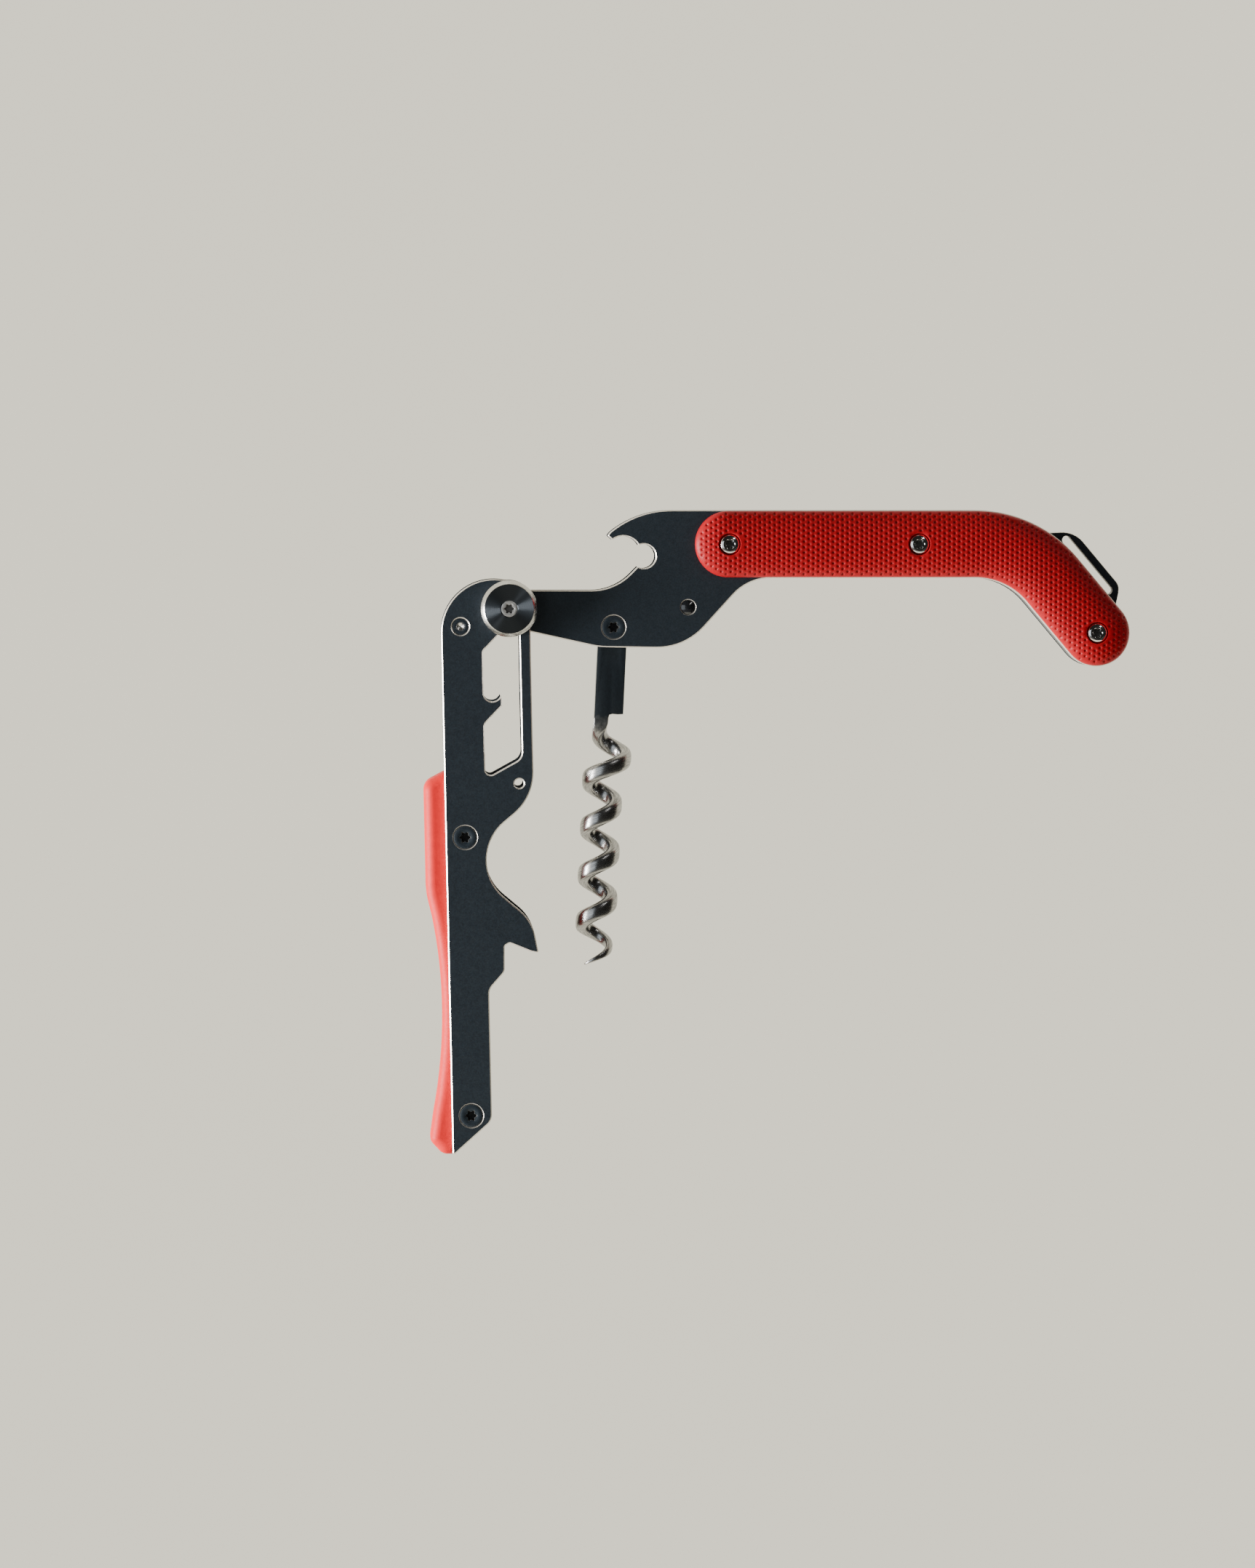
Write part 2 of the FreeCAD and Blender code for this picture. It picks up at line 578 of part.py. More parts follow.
def worm():
    """Flat shank with an eye, drawn out into a right-handed open helix with a sharp tip."""
    half, thick, reach = size("shank_width") / 2, size("shank_thick"), size("shank_reach")
    wire, radius = size("wire_dia") / 2, size("helix_radius")
    pitch, full, tip = size("helix_pitch"), size("helix_full"), size("worm_reach")
    neck = half - wire - 0.1
    root = reach + 1.0

    def centre(below):
        """Centre line of the wire at a distance below the axle."""
        if below < full:
            part = max(0.0, (below - root) / (full - root))
            rate = 2 * (full - root) / pitch
            turn = math.pi * (1 - (3 - rate) * part ** 2 - (rate - 2) * part ** 3)
            out = neck + (radius - neck) * part * part * (3 - 2 * part)
        else:
            turn = -2 * math.pi * (below - full) / pitch
            out = radius
        return Vector(out * math.cos(turn), out * math.sin(turn), -below)

    def heading(below):
        return (centre(below + 0.01) - centre(below - 0.01)).normalize()

    def drawn_wire(top, bottom, *end_radii):
        """Wire swept down the centre line; a second radius tapers it."""
        count = int((bottom - top) / pitch * 12)
        spots = [centre(top + (bottom - top) * i / count) for i in range(count + 1)]
        line = Part.BSplineCurve()
        line.interpolate(Points=spots, InitialTangent=heading(top), FinalTangent=heading(bottom))
        rings = []
        for below, ring_radius in zip((top, bottom), end_radii):
            spot = centre(below)
            ring = Part.Circle(Vector(), Vector(0, 0, 1), ring_radius).toShape()
            square_on = Rotation(Vector(spot.x, spot.y, 0), Vector(), heading(below), "ZXY")
            ring.Placement = Placement(spot, square_on)
            rings.append(Part.Wire(ring))
        return Part.Wire(line.toShape()).makePipeShell(rings, True, True)

    taper_from = tip - 0.8 * pitch
    helix = drawn_wire(reach - 1.0, taper_from, wire).fuse(drawn_wire(taper_from, tip, wire, TIP_RADIUS))

    shank = outline([(-half, half, half - 0.01), (half, half, half - 0.01), (half, -reach), (0.05, -reach),
                     (0.05, -root - 0.3, 0.3), (-half, -root - 0.3, 0.9)])
    edges = [curve.toShape() for curve in shank]
    face = Part.Face(Part.Wire(Part.__sortEdges__(edges)))
    face.rotate(Vector(), Vector(1, 0, 0), 90)
    face.translate(Vector(0, thick / 2, 0))
    bar = face.extrude(Vector(0, -thick, 0))
    eye = Part.makeCylinder(size("worm_axle_dia") / 2 + size("running_gap"), thick * 2,
                            Vector(0, -thick, 0), Vector(0, 1, 0))
    node = doc.addObject("Part::Feature", "worm")
    node.Label = "worm"
    node.Shape = bar.cut(eye).fuse(helix).removeSplitter()
    node.Placement = ON_WORM
    NODES.append(node)
    return node


# ---------------------------------------------------------------- lever

SPINE_SCREWS = (("-Sizes.spine_screw_back", "-Sizes.spine_screw_upper"),
                ("-Sizes.spine_screw_back", "-(Sizes.lever_length - Sizes.spine_screw_lower)"))


def lever_outline():
    """Lever plate: crown, thumb cut, claw, rim notch, straight nose and pointed tip."""
    front, back, nose = -size("lever_front"), size("lever_back"), size("lever_nose")
    length, crown = size("lever_length"), size("lever_crown")
    crown_at, crown_back, crown_end = 4.28, back - crown, 0.6
    run = crown_back - crown_end
    rise = math.sqrt(crown ** 2 - run ** 2)
    shoulder = crown_at - rise + (crown_end - front) * run / rise
    diagonal = crown * math.sqrt(0.5)
    thumb, thumb_at, thumb_front = size("thumb_radius"), size("thumb_at"), -size("thumb_front")
    return outline(hanging([
        (shoulder, front, 3.2),
        (thumb_at - 11.4, front, 9.9),
        (thumb_at - 0.783 * thumb, thumb_front + 0.622 * thumb),
        via(thumb_at, thumb_front + thumb),
        (thumb_at + 0.754 * thumb, thumb_front + 0.657 * thumb),
        (thumb_at + 11.1, front + 0.8, 8.0),
        (thumb_at + 17.05, front - 0.25, 0.3),
        (thumb_at + 16.7, front + 1.2, 1.0),
        (thumb_at + 15.05, nose - 3.9, 0.6),
        (thumb_at + 15.6, nose - 3.0, 0.5),
        (thumb_at + 20.3, nose - 2.9, 1.6),
        (thumb_at + 23.5, nose, 2.2),
        (length - 6.3, nose, 2.5),
        (length, back, 0.3),
        (crown_at, back),
        via(crown_at - diagonal, crown_back + diagonal),
        (crown_at - rise, crown_end)]))


def window_outline():
    """Window in the lever plate with the foil-cutter hook on its back edge."""
    front, back = -size("window_front"), size("window_back")
    return outline(hanging([
        (4.0, front, 0.5),
        (4.0, 1.3, 0.5),
        (7.65, back, 0.8),
        (16.85, back, 1.6),
        (16.85, back - 1.6 - 1.6 * math.tan(math.radians(35)), 1.6),
        (15.797, back - 3.104),
        (16.3, back - 3.28),
        (17.65, back - 3.28, 0.6),
        (20.95, back, 1.5),
        (30.9, back, 1.0),
        (27.35, front, 2.0)]))


def lever_plate(side):
    body = new_body(f"lever_plate_{side_name(side)}", ON_LEVER)
    offset = side_offset(side, LEVER_INNER, "Sizes.plate_thick")
    pad(body, "sheet", sketch(body, "outline", lever_outline(), offset), "Sizes.plate_thick")
    pocket(body, "window", sketch(body, "window_outline", window_outline()))
    bores = [("0", "0", "Sizes.pivot_screw_dia"),
             ("-Sizes.spine_screw_back", "-Sizes.cross_pin_at", "Sizes.cross_pin_end"),
             ("Sizes.tie_hole_front", "-Sizes.tie_hole_below", "Sizes.tie_hole_dia")]
    bores += [(x, z, "Sizes.thread_dia") for x, z in SPINE_SCREWS]
    pocket(body, "bores", circles(body, "bore_circles", bores))
    outer = LEVER_OUTER if side == FRONT else f"-({LEVER_OUTER})"
    seats = [(x, z, "Sizes.flat_head_dia + Sizes.head_fit") for x, z in SPINE_SCREWS]
    seat_sketch = circles(body, "seat_circles", seats, outer)
    last = pocket(body, "screw_seats", seat_sketch, "Sizes.flat_head_deep", side)
    dress(body, "Chamfer", "broken_edges", last, face_names(last, -side * lever_outer), "Sizes.edge_chamfer")
    return body


def lever_spine():
    """Spine between the lever plates, proud of their back edge, waisted in the middle."""
    body = new_body("lever_spine", ON_LEVER)
    back, nose, length = size("lever_back"), size("lever_nose"), size("lever_length")
    proud, clear, top = back + size("spine_proud"), size("spine_clear"), size("spine_top")
    upper = size("spine_screw_upper")
    waist_from, waist_to = upper + 14.5, length - 7.7
    waist = proud - 2.5
    entries = [
        (top, clear - 1.2, 0.8),
        (top, back + 0.1, 1.0),
        (top + 1.9, proud, 2.4),
        (waist_from - 4.5, proud, 14.0),
        (waist_from, proud - 1.0),
        via((waist_from + waist_to) / 2, waist),
        (waist_to, proud - 0.5),
        (length - 2.7, proud + 0.3, 1.6),
        (length - 0.1, proud - 2.0, 2.0),
        (length - 0.1, back, 0.3),
        (length - 5.9, nose + 0.5, 1.0),
        (length - 13.7, nose + 0.5, 1.0),
        (length - 16.2, clear, 1.0),
        (upper + 5.0, clear, 1.0),
        (upper + 3.0, clear - 1.2, 1.0)]
    block = pad(body, "block", sketch(body, "outline", outline(hanging(entries)), "-(" + LEVER_INNER + ")"),
                "2 * (" + LEVER_INNER + ")")
    edges = []
    for index, edge in enumerate(block.Shape.Edges, start=1):
        box = edge.BoundBox
        if box.YLength < 1e-4 and box.XMax < -back - 0.05:
            edges.append(f"Edge{index}")
    dress(body, "Fillet", "soft_edges", block, edges, "Sizes.spine_round")
    taps = [(x, z, "Sizes.thread_dia") for x, z in SPINE_SCREWS]
    pocket(body, "taps", circles(body, "tap_circles", taps))
    return body


def lever_cross_pin():
    """Shouldered pin between the lever plates, its ends just below their outer faces, with centre dimples."""
    shoulder, end, dimple = size("cross_pin_dia") / 2, size("cross_pin_end") / 2, size("cross_pin_dimple") / 2
    face = lever_outer - size("cross_pin_sunk")
    bottom = face - size("cross_pin_dimple_deep")
    place = ON_LEVER * Placement(Vector(-size("spine_screw_back"), 0, -size("cross_pin_at")), Rotation())
    return turned("lever_cross_pin", place,
                  [(0, -bottom), (dimple, -face), (end, -face), (end, -lever_inner), (shoulder, -lever_inner),
                   (shoulder, lever_inner), (end, lever_inner), (end, face), (dimple, face), (0, bottom)])


def pivot_knob(side):
    """Turned knob, its inner face on the lever plate, with a sunk seat for the screw's head."""
    outer, chamfer, deep = size("knob_dia") / 2, size("knob_chamfer"), size("knob_thick")
    seat = size("pivot_screw_head") / 2 + size("head_fit") / 2
    seat_deep = size("pivot_head_sunk") + size("pivot_head_deep")
    bore = size("pivot_screw_dia") / 2
    place = place_in(ON_LEVER, 0, 0, knob_outer, side)
    return turned(f"pivot_knob_{side_name(side)}", place,
                  [(seat, 0), (outer - chamfer, 0), (outer, chamfer), (outer, deep), (bore, deep),
                   (bore, seat_deep), (seat, seat_deep)])


def pivot_screw(side):
    top = knob_outer - size("pivot_head_sunk")
    head = size("pivot_screw_head"), size("pivot_head_deep"), size("drive_small")
    thread = size("pivot_screw_dia"), top - size("pivot_head_deep") - lever_inner + size("thread_reach")
    return screw(f"pivot_screw_{side_name(side)}", place_in(ON_LEVER, 0, 0, top, side), head, thread)


# ---------------------------------------------------------------- build

for side in (FRONT, BACK):
    handle_plate(side)
    grip_scale(side)
    grip_screws(side)
    flush_screw(f"worm_screw_{side_name(side)}", ON_HANDLE, size("worm_pivot_x"), -size("worm_pivot_drop"),
                handle_outer, side, handle_inner - size("thread_gap") / 2)
    sleeve(f"worm_washer_{side_name(side)}", facing(Placement(worm_axle, Rotation()), side),
           size("worm_axle_dia") / 2, size("worm_axle_dia") / 2 + size("worm_washer_rim"),
           -handle_inner, -size("shank_thick") / 2 - size("running_gap"))
    lever_plate(side)
    spine_screws(side)
    pivot_knob(side)
    pivot_screw(side)
    sleeve(f"pivot_washer_{side_name(side)}", facing(ON_LEVER, side), size("pivot_dia") / 2,
           size("boss_radius") - size("edge_chamfer"), -lever_inner, -handle_outer - size("running_gap"))
handle_core()
worm_stop_pin()
sleeve("worm_axle", Placement(worm_axle, Rotation()), size("thread_dia") / 2, size("worm_axle_dia") / 2,
       -handle_inner, handle_inner)
worm()
lever_spine()
lever_cross_pin()
sleeve("pivot_barrel", ON_LEVER, size("pivot_screw_dia") / 2, size("pivot_dia") / 2,
       -lever_inner, lever_inner)

doc.recompute()
for item in doc.Objects:
    if "Invalid" in item.State or "Error" in item.State:
        raise RuntimeError(f"{item.Label} did not compute: {item.State}")
os.makedirs("parts", exist_ok=True)
for node in NODES:
    if node.Shape.isNull() or not node.Shape.isValid():
        raise RuntimeError(f"{node.Label} has no valid shape")
    node.Shape.exportStep(f"parts/{node.Label}.step")
print(len(NODES), "pieces written")
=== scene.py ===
import math

import bmesh
import bpy
from bpy.props import FloatProperty, FloatVectorProperty, IntProperty, PointerProperty
from bpy.types import Operator, Panel, PropertyGroup
from mathutils import Matrix, Quaternion, Vector, geometry, kdtree


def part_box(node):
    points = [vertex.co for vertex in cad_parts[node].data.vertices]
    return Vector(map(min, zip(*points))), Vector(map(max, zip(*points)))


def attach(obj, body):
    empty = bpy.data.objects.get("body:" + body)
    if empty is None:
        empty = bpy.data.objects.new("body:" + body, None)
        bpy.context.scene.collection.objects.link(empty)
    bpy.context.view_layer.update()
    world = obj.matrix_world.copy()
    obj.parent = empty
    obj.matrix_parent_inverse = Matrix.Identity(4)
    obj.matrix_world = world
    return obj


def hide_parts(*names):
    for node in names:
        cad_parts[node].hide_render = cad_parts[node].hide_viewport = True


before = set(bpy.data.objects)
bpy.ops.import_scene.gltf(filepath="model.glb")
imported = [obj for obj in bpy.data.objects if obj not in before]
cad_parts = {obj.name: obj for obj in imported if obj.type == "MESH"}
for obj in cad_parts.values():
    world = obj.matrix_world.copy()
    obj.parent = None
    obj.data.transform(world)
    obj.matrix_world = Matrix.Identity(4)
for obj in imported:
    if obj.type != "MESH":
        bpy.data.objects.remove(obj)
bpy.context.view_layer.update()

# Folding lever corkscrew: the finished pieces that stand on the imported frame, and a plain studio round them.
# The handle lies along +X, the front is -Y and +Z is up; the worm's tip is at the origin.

bl_info = {
    "name": "Lever Corkscrew",
    "version": (1, 0, 0),
    "blender": (4, 5, 0),
    "location": "3D View > Sidebar > Corkscrew",
    "description": "Finished pieces of a folding lever corkscrew with dimpled grips",
    "category": "Add Mesh",
}

MM = 0.001
FRONT, BACK = -1, 1
SIDES = ((FRONT, "front"), (BACK, "back"))
FULL_TURN = 2 * math.pi
DOUBLES = 1e-7              # points nearer than this are one point
SCREW_SIDES, KNOB_SIDES, SEAT_SIDES, WIRE_SIDES = 72, 128, 44, 49


# ---------------------------------------------------------------- places in the frame

def middle(node):
    """Middle of a CAD node's box."""
    low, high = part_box(node)
    return (low + high) / 2


def merged(node):
    """A CAD node's mesh as a closed shell, its doubles merged."""
    shape = bmesh.new()
    shape.from_mesh(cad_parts[node].data)
    bmesh.ops.remove_doubles(shape, verts=shape.verts, dist=DOUBLES)
    return shape


def solid_boxes(node):
    """Lowest and highest corners of each separate solid in a node, from left to right."""
    shape = merged(node)
    boxes, waiting = [], set(shape.verts)
    while waiting:
        island, edge = [], [waiting.pop()]
        while edge:
            vert = edge.pop()
            island.append(vert.co.copy())
            for link in vert.link_edges:
                other = link.other_vert(vert)
                if other in waiting:
                    waiting.remove(other)
                    edge.append(other)
        boxes.append((Vector(map(min, zip(*island))), Vector(map(max, zip(*island)))))
    shape.free()
    return sorted(boxes, key=lambda box: box[0].x)


def outer_face(box, side):
    """Middle of the face of a box that looks to one side."""
    low, high = box
    spot = (low + high) / 2
    spot.y = low.y if side == FRONT else high.y
    return spot


AXLE = middle("worm_axle")
WORM_REACH = AXLE.length
WORM_LEAN = math.atan2(AXLE.x, AXLE.z)


def circle(sides):
    """Points once round a circle of radius 1."""
    turns = [FULL_TURN * i / sides for i in range(sides)]
    return [(math.cos(turn), math.sin(turn)) for turn in turns]


def tinted(colour, share):
    return tuple(share * part for part in colour)


# ---------------------------------------------------------------- settings

def length(default_mm, name, description):
    return FloatProperty(name=name, description=description, default=default_mm * MM, min=0.0, precision=5,
                         subtype="DISTANCE", unit="LENGTH")


def colour(default, name, description):
    return FloatVectorProperty(name=name, description=description, default=default, size=3, min=0.0, max=1.0,
                               subtype="COLOR")


def amount(default, name, description, low=0.0, high=100.0):
    return FloatProperty(name=name, description=description, default=default, min=low, max=high)


def angle(default_degrees, name, description):
    return FloatProperty(name=name, description=description, default=math.radians(default_degrees),
                         subtype="ANGLE", unit="ROTATION")


class CorkscrewGripSettings(PropertyGroup):
    bend: angle(50.0, "Bend", "Downward turn of the grip's tail")
    bend_radius: length(18.5, "Bend Radius", "Radius of the bend on the grip's centre line")
    column_step: length(0.887, "Column Step", "Distance between columns of dimples")
    row_step: length(0.997, "Row Step", "Distance between dimples in a column")
    first_column: length(0.28, "First Column", "First column of dimples behind the first screw")
    dimple_width: length(0.52, "Dimple Width", "Mouth of one dimple")
    dimple_depth: length(0.17, "Dimple Depth", "Deepest point of one dimple")
    dimple_margin: length(0.40, "Dimple Margin", "Least distance from a dimple's middle to the scale's edge")
    screw_margin: length(0.36, "Screw Margin", "Least distance from a dimple's middle to a screw's seat")
    edge_height: length(0.35, "Edge Height", "Upright wall at the scale's edge")
    crown_power: amount(2.3, "Crown Power", "Fullness of the crown: 2 is an ellipse", 1.5, 6.0)
    red: colour((0.48, 0.0045, 0.012), "Grip Red", "Colour of the dimpled scales")
    spine_red: colour((0.76, 0.018, 0.020), "Spine Red", "Colour of the lever's spine")


class CorkscrewSteelSettings(PropertyGroup):
    coating: colour((0.014, 0.021, 0.029), "Coating", "Black coating of the plates")
    bare: colour((0.90, 0.89, 0.87), "Bare Steel", "Cut and ground walls")
    broken_edge: colour((0.78, 0.74, 0.69), "Broken Edge", "Chamfer lines of the plates")
    bright: colour((0.86, 0.85, 0.83), "Bright Steel", "Polished screw heads")
    knob_black: colour((0.082, 0.094, 0.108), "Knob Black", "Turned faces of the knobs")
    bronze: colour((0.50, 0.33, 0.17), "Bronze", "Thrust washers")


class CorkscrewWormSettings(PropertyGroup):
    wire_width: length(3.00, "Wire Width", "Wire of the helix, along the worm")
    wire_thick: length(2.60, "Wire Thickness", "Wire of the helix, across the worm")
    helix_radius: length(2.62, "Helix Radius", "Radius of the wire's centre line")
    first_bulge: length(0.80, "First Bulge", "Wider radius where the helix starts")
    helix_lean: length(0.50, "Helix Offset", "Helix's axis beside the shank's axis")
    helix_pitch: length(8.7, "Helix Pitch", "Rise of one turn")
    helix_full: length(23.9, "Full Helix", "Axle to the point of full radius")
    shank_width: length(5.3, "Shank Width", "Flat shank, side to side")
    shank_thick: length(2.6, "Shank Thickness", "Flat shank, front to back")
    shank_reach: length(16.0, "Shank Reach", "Axle to the shank's step")
    groove: length(0.16, "Groove", "Depth of the groove along the wire")
    rings: IntProperty(name="Rings", description="Rings of vertices along the wire", default=420, min=40)


class CorkscrewStageSettings(PropertyGroup):
    backdrop: colour((0.875, 0.83, 0.675), "Backdrop", "Floor and backdrop")
    glow: amount(1.38, "Backdrop Glow", "Light that the backdrop gives back by itself", 0.0, 10.0)
    floor_drop: length(350.0, "Floor Drop", "Floor below the worm's tip")
    key: amount(34.0, "Key Light", "Power of the large soft light on the left, in watts", 0.0, 1000.0)
    fill: amount(2.5, "Fill Light", "Power of the cool soft light in front, in watts", 0.0, 1000.0)
    strip: amount(1.2, "Strip Light", "Power of the narrow light at the upper right, in watts", 0.0, 1000.0)
    top: amount(0.3, "Top Light", "Power of the soft light above, in watts", 0.0, 1000.0)
    lens: FloatProperty(name="Lens", description="Focal length", default=138.0, unit="CAMERA")


# ---------------------------------------------------------------- finishes

class Finish:
    """A material round one principled shader, its patterns on object coordinates."""

    def __init__(self, name, **fixed):
        self.material = bpy.data.materials.new(name)
        self.material.use_nodes = True
        self.tree = self.material.node_tree
        self.shader = self.tree.nodes["Principled BSDF"]
        self.place = self.tree.nodes.new("ShaderNodeTexCoord")
        for socket, value in fixed.items():
            self.set(socket.replace("_", " "), value)

    def set(self, socket, value):
        """Give a shader socket a value, a colour or another socket."""
        self.fill(self.shader.inputs[socket], value)

    def fill(self, socket, value):
        if isinstance(value, bpy.types.NodeSocket):
            self.tree.links.new(value, socket)
        elif hasattr(value, "__len__") and len(value) == 3 and socket.type == "RGBA":
            socket.default_value = (*value, 1.0)
        else:
            socket.default_value = value

    def node(self, kind, inputs, **settings):
        made = self.tree.nodes.new(kind)
        for setting, value in settings.items():
            setattr(made, setting, value)
        for socket, value in inputs.items():
            self.fill(made.inputs[socket], value)
        return made

    def noise(self, grain, detail=4.0, roughness=0.55, stretch=(1, 1, 1)):
        """Noise whose features are about one grain across, in metres."""
        spread = self.node("ShaderNodeMapping", {"Vector": self.place.outputs["Object"], "Scale": stretch})
        made = self.node("ShaderNodeTexNoise", {"Vector": spread.outputs[0], "Scale": 1 / grain,
                                                "Detail": detail, "Roughness": roughness})
        return made.outputs["Fac"]

    def patches(self, low, high, grain, *character):
        """A value that wanders between two ends in soft patches about one grain across."""
        return self.ramp(self.noise(grain, *character), 0.3, 0.7, low, high)

    def attribute(self, name):
        return self.node("ShaderNodeAttribute", {}, attribute_name=name).outputs["Fac"]

    def ramp(self, value, low, high, to_low=0.0, to_high=1.0):
        return self.node("ShaderNodeMapRange", {"Value": value, "From Min": low, "From Max": high,
                                                "To Min": to_low, "To Max": to_high}).outputs[0]

    def sum(self, a, b, operation="ADD"):
        return self.node("ShaderNodeMath", {0: a, 1: b}, operation=operation).outputs[0]

    def product(self, a, b):
        return self.sum(a, b, "MULTIPLY")

    def mix(self, factor, a, b):
        made = self.node("ShaderNodeMix", {0: factor, 6: a, 7: b}, data_type="RGBA")
        return made.outputs[2]

    def bump(self, height, distance, strength=1.0):
        made = self.node("ShaderNodeBump", {"Height": height, "Distance": distance, "Strength": strength})
        self.set("Normal", made.outputs[0])

    def across(self):
        """How squarely the surface faces front or back: 1 on flat faces, 0 on cut walls."""
        split = self.node("ShaderNodeSeparateXYZ", {0: self.place.outputs["Normal"]})
        return self.sum(split.outputs["Y"], 0.0, "ABSOLUTE")

    def height(self):
        split = self.node("ShaderNodeSeparateXYZ", {0: self.place.outputs["Object"]})
        return split.outputs["Z"]


def coated_steel(name, steel, bare_walls=True):
    """Black coated steel: mottled faces, worn chamfer lines and, if cut after coating, bare walls."""
    finish = Finish(name, IOR=1.5)
    across = finish.across()
    face = finish.ramp(across, 0.93, 0.97)
    wall = finish.ramp(across, 0.45, 0.35)
    cloud = finish.ramp(finish.noise(5.0 * MM, 3.0), 0.0, 1.0, 0.92, 1.08)
    mottle = finish.product(finish.noise(0.24 * MM, 5.0, 0.75), cloud)
    dark = tinted(steel.coating, 0.70)
    light = tinted(steel.coating, 1.55)
    coat = finish.mix(finish.ramp(mottle, 0.36, 0.64), dark, light)
    dust = finish.ramp(finish.noise(0.13 * MM, 1.0), 0.79, 0.83, 0.0, 0.25)
    coat = finish.mix(dust, coat, (0.16, 0.17, 0.18))
    cut = finish.noise(0.08 * MM, 3.0, 0.6, (1, 0.08, 1))
    bare = finish.mix(finish.ramp(cut, 0.35, 0.7), tinted(steel.bare, 0.85), steel.bare)
    edge = finish.mix(wall, steel.broken_edge, bare if bare_walls else coat)
    finish.set("Base Color", finish.mix(face, edge, coat))
    metal = finish.ramp(face, 0.0, 1.0, 0.75, 0.0)
    if not bare_walls:
        metal = finish.product(metal, finish.ramp(wall, 0.0, 1.0, 1.0, 0.0))
    finish.set("Metallic", metal)
    rough = finish.patches(0.38, 0.50, 0.9 * MM, 5.0, 0.65)
    finish.set("Roughness", finish.product(rough, finish.ramp(face, 0.0, 1.0, 0.85, 1.0)))
    finish.bump(finish.noise(0.10 * MM, 3.0, 0.7), 0.004 * MM, 0.6)
    return finish.material


def grip_red(grip):
    """Satin red of the dimpled scales, with painted shade that darkens the dimples."""
    finish = Finish("grip red", IOR=1.45, Specular_IOR_Level=0.28)
    tone = finish.mix(finish.patches(0.0, 1.0, 1.6 * MM, 4.0), tinted(grip.red, 0.90),
                      grip.red)
    # Painted shade: the red turns darker the deeper a point lies in its dimple.
    finish.set("Base Color", finish.mix(finish.ramp(finish.attribute("sunk"), 0.2, 1.0, 0.0, 0.45), tone,
                                        tinted(grip.red, 0.30)))
    finish.set("Roughness", finish.patches(0.40, 0.48, 0.5 * MM, 4.0))
    finish.bump(finish.noise(0.07 * MM, 3.0, 0.7), 0.004 * MM, 0.7)
    return finish.material


def spine_red(grip):
    """Smooth satin red of the spine, with a fine blasted grain."""
    finish = Finish("spine red", IOR=1.45, Specular_IOR_Level=0.2)
    tone = finish.patches(0.0, 1.0, 1.2 * MM, 5.0, 0.65)
    finish.set("Base Color", finish.mix(tone, tinted(grip.spine_red, 0.86), grip.spine_red))
    finish.set("Roughness", finish.patches(0.44, 0.56, 0.4 * MM, 4.0))
    finish.bump(finish.noise(0.09 * MM, 3.0, 0.7), 0.006 * MM, 0.6)
    return finish.material


def polished(name, base, roughness, recess=(0.24, 0.235, 0.23)):
    """Polished turned steel, dull where a drive recess goes in and darkened there by painted shade."""
    finish = Finish(name, Metallic=1.0)
    sunk = finish.ramp(finish.attribute("sunk"), 0.25, 0.95)
    smear = finish.ramp(finish.noise(0.35 * MM, 4.0, 0.6), 0.35, 0.75)
    clean = finish.mix(smear, base, tinted(base, 0.92))
    # Painted shade: the recess colour darkens the steel deep in a drive recess.
    finish.set("Base Color", finish.mix(sunk, clean, recess))
    rough = finish.patches(0.75 * roughness, 1.4 * roughness, 0.2 * MM, 3.0)
    finish.set("Roughness", finish.sum(rough, finish.ramp(sunk, 0.0, 1.0, 0.0, 0.2)))
    finish.bump(finish.noise(0.05 * MM, 2.0), 0.0008 * MM, 0.4)
    return finish.material


def glossy_black(name):
    """Polished black oxide of the stop pin's domes."""
    finish = Finish(name, IOR=1.7, Coat_Weight=0.4, Coat_Roughness=0.06)
    tone = finish.patches(0.0, 1.0, 0.3 * MM, 4.0)
    finish.set("Base Color", finish.mix(tone, (0.006, 0.007, 0.009), (0.02, 0.022, 0.026)))
    finish.set("Roughness", finish.ramp(tone, 0.0, 1.0, 0.10, 0.18))
    return finish.material


def blackened(name, steel):
    """Blackened screw and pin ends, with bare metal in the drive and on the outer rim, and painted shade that
    makes the bottom of the drive near black.
    """
    finish = Finish(name, IOR=1.6)
    slope = finish.ramp(finish.across(), 0.90, 0.70)
    speckle = finish.ramp(finish.noise(0.22 * MM, 4.0, 0.7), 0.35, 0.65, 0.35, 1.0)
    drive = finish.ramp(finish.attribute("sunk"), 0.02, 0.15, 0.40, 1.0)
    bright = finish.product(finish.product(slope, speckle), drive)
    dark = finish.mix(finish.noise(0.4 * MM, 5.0), tinted(steel.coating, 0.8),
                      tinted(steel.coating, 1.7))
    # Painted shade: the deepest part of the drive is painted near black.
    dark = finish.mix(finish.ramp(finish.attribute("sunk"), 0.6, 1.0), dark, (0.004, 0.004, 0.005))
    finish.set("Base Color", finish.mix(bright, dark, tinted(steel.bare, 0.42)))
    finish.set("Metallic", bright)
    finish.set("Roughness", finish.patches(0.28, 0.42, 0.3 * MM, 4.0))
    return finish.material


def knob_face(steel):
    """Fine turned black face, its sheen drawn out across the turning marks."""
    finish = Finish("knob black", IOR=1.6, Anisotropic=1.0, Anisotropic_Rotation=0.25)
    tangent = finish.node("ShaderNodeTangent", {}, direction_type="UV_MAP", uv_map="turned")
    finish.set("Tangent", tangent.outputs[0])
    marks = finish.attribute("turning")
    finish.set("Base Color", finish.mix(marks, tinted(steel.knob_black, 0.8),
                                        tinted(steel.knob_black, 1.3)))
    finish.set("Metallic", finish.ramp(marks, 0.0, 1.0, 0.85, 0.95))
    finish.set("Roughness", finish.ramp(marks, 0.0, 1.0, 0.42, 0.50))
    return finish.material


